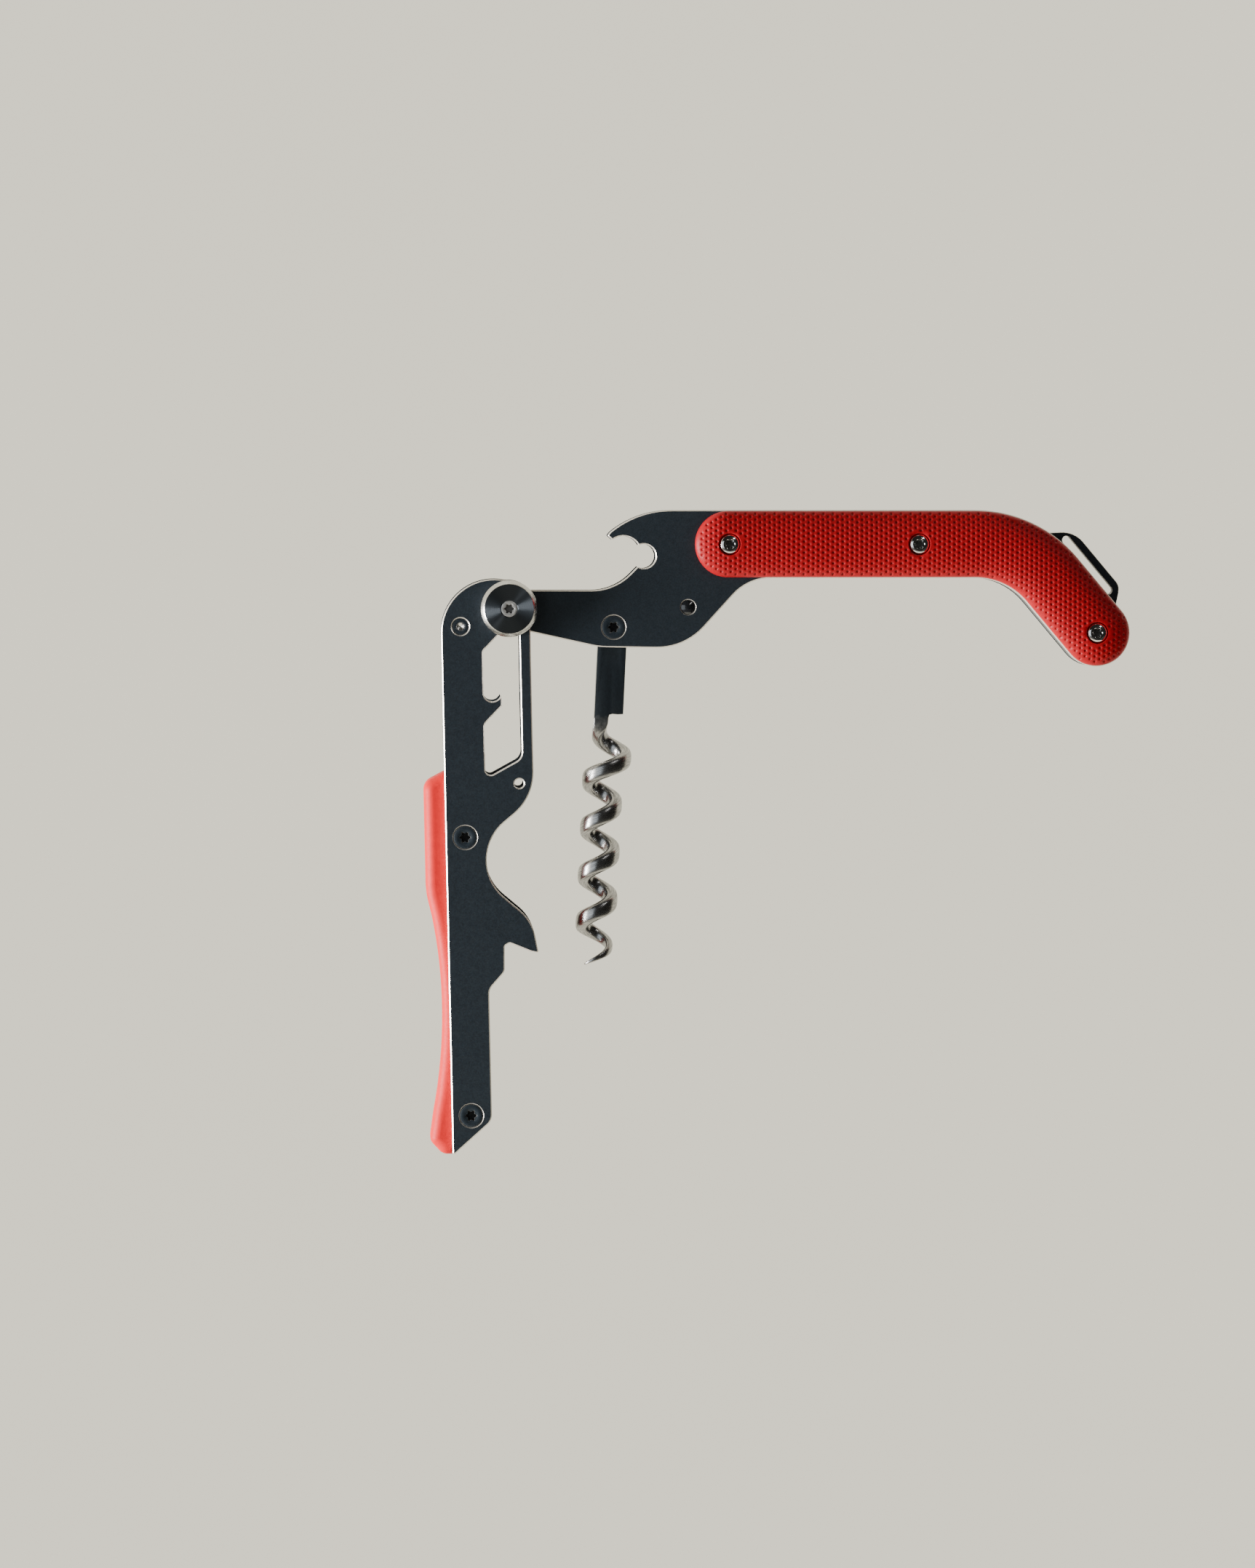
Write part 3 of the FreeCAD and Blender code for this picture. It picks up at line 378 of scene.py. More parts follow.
def worm_steel(steel, fade_from, fade_to):
    """Black coated shank that gives way to bright drawn steel in the first turn of the helix."""
    finish = Finish("worm steel", IOR=1.5)
    ragged = finish.ramp(finish.noise(0.9 * MM, 4.0), 0.0, 1.0, -0.8 * MM, 0.8 * MM)
    height = finish.sum(finish.height(), ragged)
    black = finish.ramp(height, fade_to, fade_from)
    face = finish.ramp(finish.across(), 0.86, 0.95, 0.12, 1.0)
    coated = finish.product(black, face)
    mottle = finish.patches(0.0, 1.0, 0.4 * MM, 6.0, 0.7)
    coat = finish.mix(mottle, tinted(steel.coating, 0.8), tinted(steel.coating, 1.4))
    strand = finish.node("ShaderNodeCombineXYZ", {
        0: finish.attribute("strand_x"), 1: finish.attribute("strand_y"), 2: finish.attribute("strand_run")})
    streaks = finish.node("ShaderNodeTexNoise", {"Vector": strand.outputs[0], "Scale": 5.0, "Detail": 5.0,
                                                 "Roughness": 0.7}).outputs["Fac"]
    drawn = finish.ramp(streaks, 0.32, 0.68)
    bright = finish.mix(drawn, (0.14, 0.14, 0.145), (0.58, 0.575, 0.565))
    finish.set("Base Color", finish.mix(coated, bright, coat))
    finish.set("Metallic", finish.ramp(coated, 0.0, 1.0, 1.0, 0.0))
    rough = finish.ramp(streaks, 0.3, 0.7, 0.34, 0.20)
    finish.set("Roughness", finish.sum(rough, finish.ramp(coated, 0.0, 1.0, 0.0, 0.16)))
    finish.bump(streaks, 0.02 * MM, 0.6)
    return finish.material


def backdrop_paint(stage):
    """Plain pale paint with a barely visible tooth."""
    finish = Finish("backdrop", Roughness=0.9, Specular_IOR_Level=0.0, Emission_Strength=stage.glow)
    tone = finish.patches(0.0, 1.0, 0.35, 2.0)
    tone = finish.mix(tone, tinted(stage.backdrop, 0.985), stage.backdrop)
    finish.set("Base Color", finish.mix(0.98, tone, (0.005, 0.005, 0.005)))
    finish.set("Emission Color", tone)
    return finish.material


def black_cloth():
    """Matt black cloth of the screens that keep stray light off the object."""
    finish = Finish("black cloth", Roughness=1.0, Specular_IOR_Level=0.0, Sheen_Weight=0.2)
    weave = finish.patches(0.0, 1.0, 2.0 * MM, 3.0)
    finish.set("Base Color", finish.mix(weave, (0.008, 0.008, 0.008), (0.02, 0.02, 0.02)))
    return finish.material


# ---------------------------------------------------------------- mesh helpers

def piece_from(name, shape, materials, crease=35.0):
    """Object of a finished bmesh, smooth shaded up to the crease angle."""
    mesh = bpy.data.meshes.new(name)
    shape.to_mesh(mesh)
    shape.free()
    return piece_of(name, mesh, materials, crease)


def piece_of(name, mesh, materials, crease=35.0):
    if "custom_normal" in mesh.attributes:
        mesh.attributes.remove(mesh.attributes["custom_normal"])
    for material in materials:
        mesh.materials.append(material)
    mesh.shade_smooth()
    mesh.set_sharp_from_angle(angle=math.radians(crease))
    piece = bpy.data.objects.new(name, mesh)
    bpy.context.scene.collection.objects.link(piece)
    return piece


def settle(piece, body, slot, *nodes):
    """Hand a finished piece to the frame."""
    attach(piece, body)
    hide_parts(*nodes)
    return piece


def sharp_rims(shape):
    """Square edges round the flat faces of a plate."""
    return [edge for edge in shape.edges if edge.calc_face_angle(0.0) > math.radians(80)
            and abs(edge.verts[0].co.y - edge.verts[1].co.y) < DOUBLES]


def finished_copy(node, body, slot, material, crease=35.0, broken=0.0):
    """Finished piece with a CAD node's shape, smooth round its curves, its sharp edges broken if asked."""
    shape = merged(node)
    if broken:
        bmesh.ops.bevel(shape, geom=sharp_rims(shape), offset=broken, segments=1, affect="EDGES",
                        clamp_overlap=True)
    piece = piece_from(node + "_finished", shape, [material], crease)
    return settle(piece, body, slot, node)


def star(radius):
    """Outline of a six-lobed drive recess, as a radius for each angle."""
    return lambda turn: radius * (0.86 + 0.14 * math.cos(6 * turn))


def turned_shape(profile, segments, face, side=FRONT):
    """Closed shape turned about the Y axis through the middle of its face.

    The profile runs from the middle of the face to the middle of the back, in steps of (radius, depth,
    material, sunk). A radius may be a rule that gives it for each angle. Sunk marks a recess, from 0 to 1.
    """
    shape = bmesh.new()
    sunk_layer = shape.verts.layers.float.new("sunk")
    turning = shape.verts.layers.float.new("turning")
    uv = shape.loops.layers.uv.new("turned")
    rows = []
    for number, (radius, depth, _, sunk) in enumerate(profile):
        row = []
        for i in range(segments if radius != 0 else 1):
            turn = FULL_TURN * i / segments
            out = radius(turn) if callable(radius) else radius
            spot = Vector((out * math.cos(turn), -side * depth, out * math.sin(turn)))
            vert = shape.verts.new(face + spot)
            vert[sunk_layer] = sunk
            vert[turning] = number % 2
            row.append(vert)
        rows.append(row)
    for number in range(1, len(rows)):
        inner, outer, material = rows[number - 1], rows[number], profile[number][2]
        for i in range(segments):
            ahead = (i + 1) % segments
            around = [inner[i % len(inner)], outer[i % len(outer)], outer[ahead % len(outer)],
                      inner[ahead % len(inner)]]
            corners = list(dict.fromkeys(around))
            made = shape.faces.new(corners)
            made.material_index = material
            for loop in made.loops:
                beyond = loop.vert in (outer[ahead % len(outer)], inner[ahead % len(inner)])
                level = number - (1 if loop.vert in inner else 0)
                loop[uv].uv = ((i + (1 if beyond else 0)) / segments, level / len(rows))
    bmesh.ops.recalc_face_normals(shape, faces=shape.faces)
    return shape


def rounded(steps):
    """Profile steps with a material and no recess, from (radius, depth) in millimetres."""
    return [(radius * MM, depth * MM, 0, 0.0) for radius, depth in steps]


def star_recess(*steps):
    """Profile of a star drive from its dished floor out to a round rim, in (radius, depth, sunk), in mm."""
    dish = (0, (steps[0][1] + 0.04) * MM, 0, 1.0)
    lobed = [(star(radius * MM), depth * MM, 0, sunk) for radius, depth, sunk in steps[:-1]]
    return [dish] + lobed + [(steps[-1][0] * MM, steps[-1][1] * MM, 0, 0.0)]


def shank_end(end, under, thread=1.0):
    """Profile of a screw's shank from the head's underside, in millimetres."""
    return [(thread, under), (thread, end - 0.3), (thread * 0.7, end), (0, end)]


def bowl_shape(section, floor, first, last, count=96):
    """Open shape turned about Z from (radius, height) steps, its faces looking inwards."""
    closed = last - first > FULL_TURN - 0.01
    shape = bmesh.new()
    rows = []
    for reach, rise in section:
        steps = count if closed else count + 1
        turns = [first + (last - first) * i / count for i in range(steps)] if reach else [0.0]
        rows.append([shape.verts.new((reach * math.cos(turn), reach * math.sin(turn), floor + rise))
                     for turn in turns])
    for lower, upper in zip(rows, rows[1:]):
        for i in range(count):
            ahead = (i + 1) % len(upper)
            corners = [lower[i % len(lower)], lower[ahead % len(lower)], upper[ahead], upper[i]]
            shape.faces.new(list(dict.fromkeys(corners)))
    return shape


# ---------------------------------------------------------------- geometry trees

class Field:
    """A number in a geometry tree, so that a rule is written as ordinary arithmetic."""

    def __init__(self, tree, socket):
        self.tree = tree
        self.socket = socket

    def math(self, operation, *others):
        made = self.tree.nodes.new("ShaderNodeMath")
        made.operation = operation
        for slot, value in zip(made.inputs, (self, *others)):
            connect(self.tree, value, slot)
        return Field(self.tree, made.outputs[0])

    def __add__(self, other):
        return self.math("ADD", other)

    def __sub__(self, other):
        return self.math("SUBTRACT", other)

    def __mul__(self, other):
        return self.math("MULTIPLY", other)

    def __truediv__(self, other):
        return self.math("DIVIDE", other)

    def __pow__(self, other):
        return self.math("POWER", other)

    def __neg__(self):
        return self.math("MULTIPLY", -1.0)

    __radd__ = __add__
    __rmul__ = __mul__

    def __rsub__(self, other):
        return -self + other

    def sin(self):
        return self.math("SINE")

    def cos(self):
        return self.math("COSINE")

    def size(self):
        return self.math("ABSOLUTE")

    def sign(self):
        return self.math("SIGN")

    def floor(self):
        return self.math("FLOOR")

    def least(self, other):
        return self.math("MINIMUM", other)

    def most(self, other):
        return self.math("MAXIMUM", other)

    def clamped(self):
        return self.most(0.0).least(1.0)

    def eased(self):
        """0 to 1 with a soft start and end."""
        return self * self * (3.0 - 2.0 * self)


def connect(tree, value, socket):
    """Put a number, a field or a socket into a socket."""
    if isinstance(value, Field):
        value = value.socket
    if isinstance(value, bpy.types.NodeSocket):
        tree.links.new(value, socket)
    else:
        socket.default_value = value


SOCKETS = {float: "NodeSocketFloat", int: "NodeSocketInt", Vector: "NodeSocketVector",
           bpy.types.Object: "NodeSocketObject", bpy.types.Material: "NodeSocketMaterial"}


class Tree:
    """Geometry tree with named inputs, run once on a mesh and turned into a plain mesh."""

    def __init__(self, name, values):
        self.tree = bpy.data.node_groups.new(name, "GeometryNodeTree")
        self.values = values
        self.sockets = {}
        face = self.tree.interface
        face.new_socket("Geometry", in_out="INPUT", socket_type="NodeSocketGeometry")
        for label, value in values.items():
            kind = next(kind for known, kind in SOCKETS.items() if isinstance(value, known))
            self.sockets[label] = face.new_socket(label, in_out="INPUT", socket_type=kind).identifier
        face.new_socket("Geometry", in_out="OUTPUT", socket_type="NodeSocketGeometry")
        self.given = self.tree.nodes.new("NodeGroupInput")

    def __getitem__(self, label):
        return Field(self.tree, self.given.outputs[label])

    def node(self, kind, inputs, **settings):
        made = self.tree.nodes.new(kind)
        for setting, value in settings.items():
            setattr(made, setting, value)
        for socket, value in inputs.items():
            connect(self.tree, value, made.inputs[socket])
        return made

    def vector(self, x, y, z):
        return self.node("ShaderNodeCombineXYZ", {0: x, 1: y, 2: z}).outputs[0]

    def split(self, socket):
        made = self.node("ShaderNodeSeparateXYZ", {0: socket})
        return [Field(self.tree, output) for output in made.outputs]

    def vector_math(self, operation, *values):
        made = self.node("ShaderNodeVectorMath", {}, operation=operation)
        for slot, value in zip(made.inputs, values):
            connect(self.tree, value, slot)
        return made.outputs[0]

    def position(self):
        return self.node("GeometryNodeInputPosition", {}).outputs[0]

    def attribute(self, name):
        made = self.node("GeometryNodeInputNamedAttribute", {"Name": name}, data_type="FLOAT")
        return made.outputs["Attribute"]

    def finish(self, geometry_socket, material):
        """End the tree in realized instances with their material."""
        real = self.node("GeometryNodeRealizeInstances", {"Geometry": geometry_socket})
        painted = self.node("GeometryNodeSetMaterial", {"Geometry": real.outputs[0], "Material": material})
        out = self.node("NodeGroupOutput", {})
        self.tree.links.new(painted.outputs[0], out.inputs[0])

    def run(self, start):
        """Plain mesh that the tree makes of a starting mesh."""
        holder = bpy.data.objects.new("holder", start)
        bpy.context.scene.collection.objects.link(holder)
        modifier = holder.modifiers.new("tree", "NODES")
        modifier.node_group = self.tree
        for label, value in self.values.items():
            modifier[self.sockets[label]] = value
        bpy.context.view_layer.update()
        evaluated = holder.evaluated_get(bpy.context.evaluated_depsgraph_get())
        mesh = bpy.data.meshes.new_from_object(evaluated)
        holder.modifiers.remove(modifier)
        bpy.data.objects.remove(holder)
        return mesh


def loose_points(places, **attributes):
    """Mesh of loose points, with float attributes."""
    mesh = bpy.data.meshes.new("places")
    mesh.from_pydata([tuple(place) for place in places], [], [])
    for name, values in attributes.items():
        mesh.attributes.new(name, "FLOAT", "POINT").data.foreach_set("value", values)
    return mesh


def screw_set(name, screw, seats, material):
    """One mesh of equal screws, set in their seats: (middle of the head's face, side)."""
    tree = Tree("Screw Set", {"Screw": screw, "Finish": material, "Scale": 1.0})
    turn = tree.vector(0.0, 0.0, tree.attribute("turn"))
    rotation = tree.node("FunctionNodeEulerToRotation", {0: turn}).outputs[0]
    source = tree.node("GeometryNodeObjectInfo", {"Object": tree["Screw"]})
    set_in = tree.node("GeometryNodeInstanceOnPoints",
                       {"Points": tree.given.outputs["Geometry"], "Instance": source.outputs["Geometry"],
                        "Rotation": rotation, "Scale": tree["Scale"]})
    tree.finish(set_in.outputs[0], tree["Finish"])
    turns = [0.0 if side == FRONT else math.pi for _, side in seats]
    mesh = tree.run(loose_points([seat for seat, _ in seats], turn=turns))
    bpy.data.objects.remove(screw)
    mesh.materials.clear()
    return piece_of(name, mesh, [material], 32.0)


# ---------------------------------------------------------------- grip scales

END_RADIUS = 6 * MM         # about the grip's half width, for the steps round its ends
EDGE_SHARE = 0.9995         # the crown's slope is taken this far out at most


class GripLine:
    """Centre line of the bent grip in the XZ plane: a straight run, an arc and the tail."""

    def __init__(self, start, tail, bend, radius):
        corner = Vector((tail.x - (start.y - tail.y) / math.tan(bend), start.y))
        run = radius * math.tan(bend / 2)
        self.start, self.tail, self.bend, self.radius = start, tail, bend, radius
        self.along = Vector((math.cos(bend), -math.sin(bend)))
        self.bend_from = corner - Vector((run, 0))
        self.tail_from = corner + self.along * run
        self.centre = self.bend_from - Vector((0, radius))

    def nearest(self, spot):
        """Distance from the line, and the direction away from it."""
        straight = Vector((min(max(spot.x, self.start.x), self.bend_from.x), self.start.y))
        out = spot - self.centre
        turn = min(max(math.atan2(out.x, out.y), 0.0), self.bend)
        arc = self.centre + Vector((math.sin(turn), math.cos(turn))) * self.radius
        reach = min(max((spot - self.tail_from).dot(self.along), 0.0), (self.tail - self.tail_from).length)
        away = min((spot - base for base in (straight, arc, self.tail_from + self.along * reach)),
                   key=lambda gap: gap.length_squared)
        return away.length, away.normalized()

    def stations(self, step):
        """Points of the line with their outward directions, once round the band."""
        across = Vector((math.sin(self.bend), math.cos(self.bend)))
        up = Vector((0, 1))
        there = [(self.start.lerp(self.bend_from, part), up)
                 for part in parts((self.bend_from - self.start).length, step)]
        for part in parts(self.bend * self.radius, step):
            out = Vector((math.sin(part * self.bend), math.cos(part * self.bend)))
            there.append((self.centre + out * self.radius, out))
        there += [(self.tail_from.lerp(self.tail, part), across)
                  for part in parts((self.tail - self.tail_from).length, step)]
        half_turn = parts(math.pi * END_RADIUS, step)
        around = [(self.tail, turned_by(across, -math.pi * part)) for part in half_turn]
        back = [(self.tail, -across)] + [(base, -out) for base, out in reversed(there[1:])]
        close = [(self.start, turned_by(-up, -math.pi * part)) for part in half_turn]
        return there + around + back + close


def parts(distance, step):
    """Fractions from 0 up to, but not including, 1."""
    count = max(1, round(distance / step))
    return [i / count for i in range(count)]


def turned_by(direction, turn):
    return Matrix.Rotation(turn, 2) @ direction


class Crown:
    """Curved top of a grip scale over its flat seat."""

    def __init__(self, line, half, seat, thick, side, grip):
        self.line, self.half, self.seat, self.side = line, half, seat, side
        self.edge, self.rise = grip.edge_height, thick - grip.edge_height
        self.power = grip.crown_power

    def level(self, part):
        """Height above the seat, from 0 on the centre line to 1 at the edge."""
        return self.edge + self.rise * max(0.0, 1 - part ** self.power) ** (1 / self.power)

    def inset(self, turn):
        """Distance from the centre line at an angle up the crown: 0 is the edge."""
        return self.half * math.cos(turn) ** (2 / self.power)

    def on(self, spot, depth=0.0):
        """Point of the crown over a place in the XZ plane, sunk by a depth along the surface's normal."""
        distance, away = self.line.nearest(spot)
        part = min(distance / self.half, EDGE_SHARE)
        slope = (self.rise / self.half * part ** (self.power - 1)
                 * (1 - part ** self.power) ** (1 / self.power - 1))
        normal = Vector((slope * away.x, self.side, slope * away.y)).normalized()
        top = Vector((spot.x, self.seat + self.side * self.level(min(distance / self.half, 1.0)), spot.y))
        return top - normal * depth


DIMPLE_SIDES = 10
DIMPLE_RIM = 0.62           # rim's radius, as a share of the dimple's width


def dimple(width, depth):
    """One dimple as a small dish in the XZ plane, its depth along +Y."""
    shape = bmesh.new()
    profile = [(DIMPLE_RIM, 0.0), (0.50, 0.20), (0.28, 0.80)]
    rows = [[shape.verts.new((share * width * x, sunk * depth, share * width * z))
             for x, z in circle(DIMPLE_SIDES)] for share, sunk in profile]
    bottom = shape.verts.new((0, depth, 0))
    for i in range(DIMPLE_SIDES):
        ahead = (i + 1) % DIMPLE_SIDES
        for outer, inner in zip(rows, rows[1:]):
            shape.faces.new((outer[i], outer[ahead], inner[ahead], inner[i]))
        shape.faces.new((rows[-1][i], rows[-1][ahead], bottom))
    return piece_from("dimple", shape, [])


def dimple_field(line, screws, half, seat_radius, grip, material):
    """Staggered dimples over the whole scale, clear of its edge and of its screws, as a flat mesh."""
    stencil = dimple(grip.dimple_width, grip.dimple_depth)
    first = Vector((screws[0].x + grip.first_column, 0, screws[0].y))
    left = math.ceil((first.x - line.start.x + half) / grip.column_step)
    columns = left + math.ceil((line.tail.x + half - first.x) / grip.column_step)
    below = 2 * math.ceil((line.start.y - line.tail.y + half) / grip.row_step / 2)
    rows = below + math.ceil(half / grip.row_step) + 1
    corner = first - Vector((left * grip.column_step, 0, below * grip.row_step))
    tree = Tree("Dimple Field", {
        "Dimple": stencil, "Finish": material, "Corner": corner, "Columns": columns, "Rows": rows,
        "Column Step": grip.column_step, "Row Step": grip.row_step, "Parity": float(left % 2),
        "Reach": half - grip.dimple_margin, "Screw Reach": seat_radius + grip.screw_margin})
    grid = tree.node("GeometryNodeMeshGrid", {"Vertices X": tree["Columns"], "Vertices Y": tree["Rows"],
                                              "Size X": 1.0, "Size Y": 1.0})
    index = Field(tree.tree, tree.node("GeometryNodeInputIndex", {}).outputs[0])
    column = ((index + 0.5) / tree["Rows"]).floor()
    row = index - column * tree["Rows"]
    stagger = (column + tree["Parity"]) / 2.0
    stagger = stagger - stagger.floor()
    x, _, z = tree.split(tree.given.outputs["Corner"])
    spot = tree.vector(x + column * tree["Column Step"], 0.0, z + (row + stagger) * tree["Row Step"])
    lattice = tree.node("GeometryNodeSetPosition", {"Geometry": grid.outputs["Mesh"], "Position": spot})
    marks = tree.node("GeometryNodeSeparateGeometry",
                      {"Geometry": tree.given.outputs["Geometry"],
                       "Selection": tree.attribute("screw")}, domain="POINT")
    to_line = tree.node("GeometryNodeProximity", {"Geometry": marks.outputs["Inverted"]},
                        target_element="EDGES")
    to_screw = tree.node("GeometryNodeProximity", {"Geometry": marks.outputs["Selection"]},
                         target_element="POINTS")
    outside = Field(tree.tree, to_line.outputs["Distance"]).math("GREATER_THAN", tree["Reach"])
    in_seat = Field(tree.tree, to_screw.outputs["Distance"]).math("LESS_THAN", tree["Screw Reach"])
    kept = tree.node("GeometryNodeDeleteGeometry",
                     {"Geometry": lattice.outputs[0], "Selection": outside.most(in_seat)}, domain="POINT")
    source = tree.node("GeometryNodeObjectInfo", {"Object": tree["Dimple"]})
    pressed = tree.node("GeometryNodeInstanceOnPoints",
                        {"Points": kept.outputs[0], "Instance": source.outputs["Geometry"]})
    tree.finish(pressed.outputs[0], tree["Finish"])

    guide = bpy.data.meshes.new("guide")
    run = centre_path(line)
    guide.from_pydata([(spot.x, 0, spot.y) for spot in run + screws],
                      [(i, i + 1) for i in range(len(run) - 1)], [])
    guide.attributes.new("screw", "FLOAT", "POINT").data.foreach_set(
        "value", [0.0] * len(run) + [1.0] * len(screws))
    mesh = tree.run(guide)
    bpy.data.objects.remove(stencil)
    return mesh


def centre_path(line, steps=60):
    """Points along the centre line, close together round its bend."""
    turns = [line.bend * i / steps for i in range(steps + 1)]
    arc = [line.centre + Vector((math.sin(turn), math.cos(turn))) * line.radius for turn in turns]
    return [line.start] + arc + [line.tail]


ON_TOP = 1e-9               # a dimple's rim point is this near the surface
ON_EDGE = 1e-6
SEAT_GAP = 0.10 * MM        # round a screw's head
SEAT_CHAMFER = 0.09 * MM
SEAT_LIP = 0.07 * MM
SEAT_DEPTH = 1.3 * MM       # seat's floor above the scale's underside
EDGE_STEP = 0.45 * MM
EDGE_TURNS = (0.0, 2.5, 5.0, 8.0, 11.0)     # rings of the edge, in degrees up the crown
CROWN_TURNS = (18, 26, 35, 45)              # extra rings that keep the crown round
SPARE_GAP = 0.15 * MM       # least distance between the web's own points, and from them to:
DIMPLE_GAP, EDGE_GAP, SCREW_GAP = 0.07 * MM, 0.10 * MM, 0.12 * MM


def grip_scale(side, name, line, screws, grip, material):
    """Crowned, dimpled scale with seats for its screw heads."""
    node = f"grip_scale_{name}"
    low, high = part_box(node)
    half = high.z - line.start.y
    seat_y, top_y = (high.y, low.y) if side == FRONT else (low.y, high.y)
    thick = abs(top_y - seat_y)
    crown = Crown(line, half, seat_y, thick, side, grip)
    head = solid_boxes(f"grip_screws_{name}")[0]
    hole = (head[1].z - head[0].z) / 2 + SEAT_GAP
    mouth = hole + SEAT_CHAMFER
    field = dimple_field(line, screws, half, mouth, grip, material)

    shape = bmesh.new()
    sunk_layer = shape.verts.layers.float.new("sunk")

    def vertex(spot, depth=0.0):
        made = shape.verts.new(crown.on(spot, depth))
        made[sunk_layer] = depth / grip.dimple_depth
        return made

    # The pressed dimples, carried from their flat field up onto the crown.
    pressed = [vertex(Vector((vert.co.x, vert.co.z)), vert.co.y) for vert in field.vertices]
    for polygon in field.polygons:
        shape.faces.new([pressed[i] for i in polygon.vertices])
    rims = [vert for vert in range(len(pressed)) if field.vertices[vert].co.y < ON_TOP]
    rim_edges = [edge.vertices for edge in field.edges
                 if all(field.vertices[i].co.y < ON_TOP for i in edge.vertices)]
    bottoms = [Vector((vert.co.x, 0, vert.co.z)) for vert in field.vertices
               if vert.co.y > grip.dimple_depth * 0.999]
    tree = kdtree.KDTree(len(bottoms))
    for i, spot in enumerate(bottoms):
        tree.insert(spot, i)
    tree.balance()

    # The edge: rings of the band's own outline, from the wall up to where the dimples begin.
    stations = line.stations(EDGE_STEP)

    def ring(reach):
        return [base + out * reach for base, out in stations]

    rows = [[vertex(spot) for spot in ring(crown.inset(math.radians(turn)))] for turn in EDGE_TURNS]
    wall = [shape.verts.new((spot.x, seat_y, spot.y)) for spot in ring(half)]
    bands = [wall] + rows
    count = len(stations)
    for lower, upper in zip(bands, bands[1:]):
        for i in range(count):
            shape.faces.new((lower[i], lower[(i + 1) % count], upper[(i + 1) % count], upper[i]))

    # The web between the dimples, the edge rings and the screws' seats.
    plan, owners, links = [], [], []

    def add(spots, verts, closed):
        first = len(plan)
        plan.extend(spot / MM for spot in spots)
        owners.extend(verts)
        if closed:
            links.extend((first + i, first + (i + 1) % len(spots)) for i in range(len(spots)))

    add([Vector((field.vertices[i].co.x, field.vertices[i].co.z)) for i in rims],
        [pressed[i] for i in rims], False)
    place_of = {vert: i for i, vert in enumerate(rims)}
    links.extend((place_of[a], place_of[b]) for a, b in rim_edges)
    inner_reach = crown.inset(math.radians(EDGE_TURNS[-1]))
    add(ring(inner_reach), rows[-1], True)
    mouths = []
    for screw in screws:
        spots = [screw + Vector(out) * mouth for out in circle(SEAT_SIDES)]
        mouths.append([vertex(spot) for spot in spots])
        add(spots, mouths[-1], True)
    spare = [spot for turn in CROWN_TURNS for spot in ring(crown.inset(math.radians(turn)))]
    third = grip.column_step / 3
    for bottom in bottoms:
        here = Vector((bottom.x, bottom.z))
        spare += [here + Vector((third * x, grip.row_step / 2 * z)) for x, z in
                  ((2, 0), (-2, 0), (1, 1), (-1, 1), (1, -1), (-1, -1))]
    taken = set()
    for spot in spare:
        key = (round(spot.x / SPARE_GAP), round(spot.y / SPARE_GAP))
        near = tree.find(Vector((spot.x, 0, spot.y)))[2]
        if key in taken or near < DIMPLE_RIM * grip.dimple_width + DIMPLE_GAP:
            continue
        if line.nearest(spot)[0] > inner_reach - EDGE_GAP:
            continue
        if min((spot - screw).length for screw in screws) < mouth + SCREW_GAP:
            continue
        taken.add(key)
        add([spot], [vertex(spot)], False)
    found = geometry.delaunay_2d_cdt(plan, links, [], 0, ON_EDGE)
    spots, triangles, origins = found[0], found[2], found[3]
    for triangle in triangles:
        middle_spot = sum((spots[i] for i in triangle), Vector((0, 0))) / 3 * MM
        if tree.find(Vector((middle_spot.x, 0, middle_spot.y)))[2] < 0.60 * grip.dimple_width:
            continue
        if line.nearest(middle_spot)[0] > inner_reach - ON_EDGE:
            continue
        if min((middle_spot - screw).length for screw in screws) < mouth * 0.995:
            continue
        if all(origins[i] for i in triangle):
            corners = [owners[origins[i][0]] for i in triangle]
            if len(set(corners)) == 3:
                shape.faces.new(corners)

    # Seats for the screw heads, and the flat underside.
    floor_y = seat_y + side * SEAT_DEPTH
    for screw, top in zip(screws, mouths):
        above = top
        lip_y = crown.on(screw + Vector((0, hole))).y - side * SEAT_LIP
        for reach, y in ((hole, lip_y), (hole, floor_y), (0.55 * hole, floor_y)):
            below = [shape.verts.new((screw.x + x * reach, y, screw.y + z * reach))
                     for x, z in circle(SEAT_SIDES)]
            for i in range(SEAT_SIDES):
                ahead = (i + 1) % SEAT_SIDES
                shape.faces.new((above[i], above[ahead], below[ahead], below[i]))
            above = below
        shape.faces.new(above)
    shape.faces.new(wall)
    bmesh.ops.recalc_face_normals(shape, faces=shape.faces)
    bpy.data.meshes.remove(field)
    piece = piece_from(f"dimpled_scale_{name}", shape, [material], 55.0)
    return settle(piece, "handle", "red_grip", node)


# ---------------------------------------------------------------- worm

ROOT_DROP = 1.0 * MM        # the wire leaves the shank this far below its step
SHANK_SKIN = 0.01 * MM      # the wire's root lies this far inside the shank's faces
DRAWN_OVER = 3.0 * MM       # the flat root becomes round wire over this length
BULGE_SPAN, OFFSET_SPAN, TIP_SPAN = 0.55, 0.5, 0.85     # in turns of the helix
TIP_SHARE, TIP_TAPER = 0.06, 0.8
FLAT_CORNER, ROUND_CORNER = 0.12, 0.80      # corner powers: 0 is square, 1 is round
STRAND_SCALE, STRAND_STRETCH = 2.2, 4.0 * MM


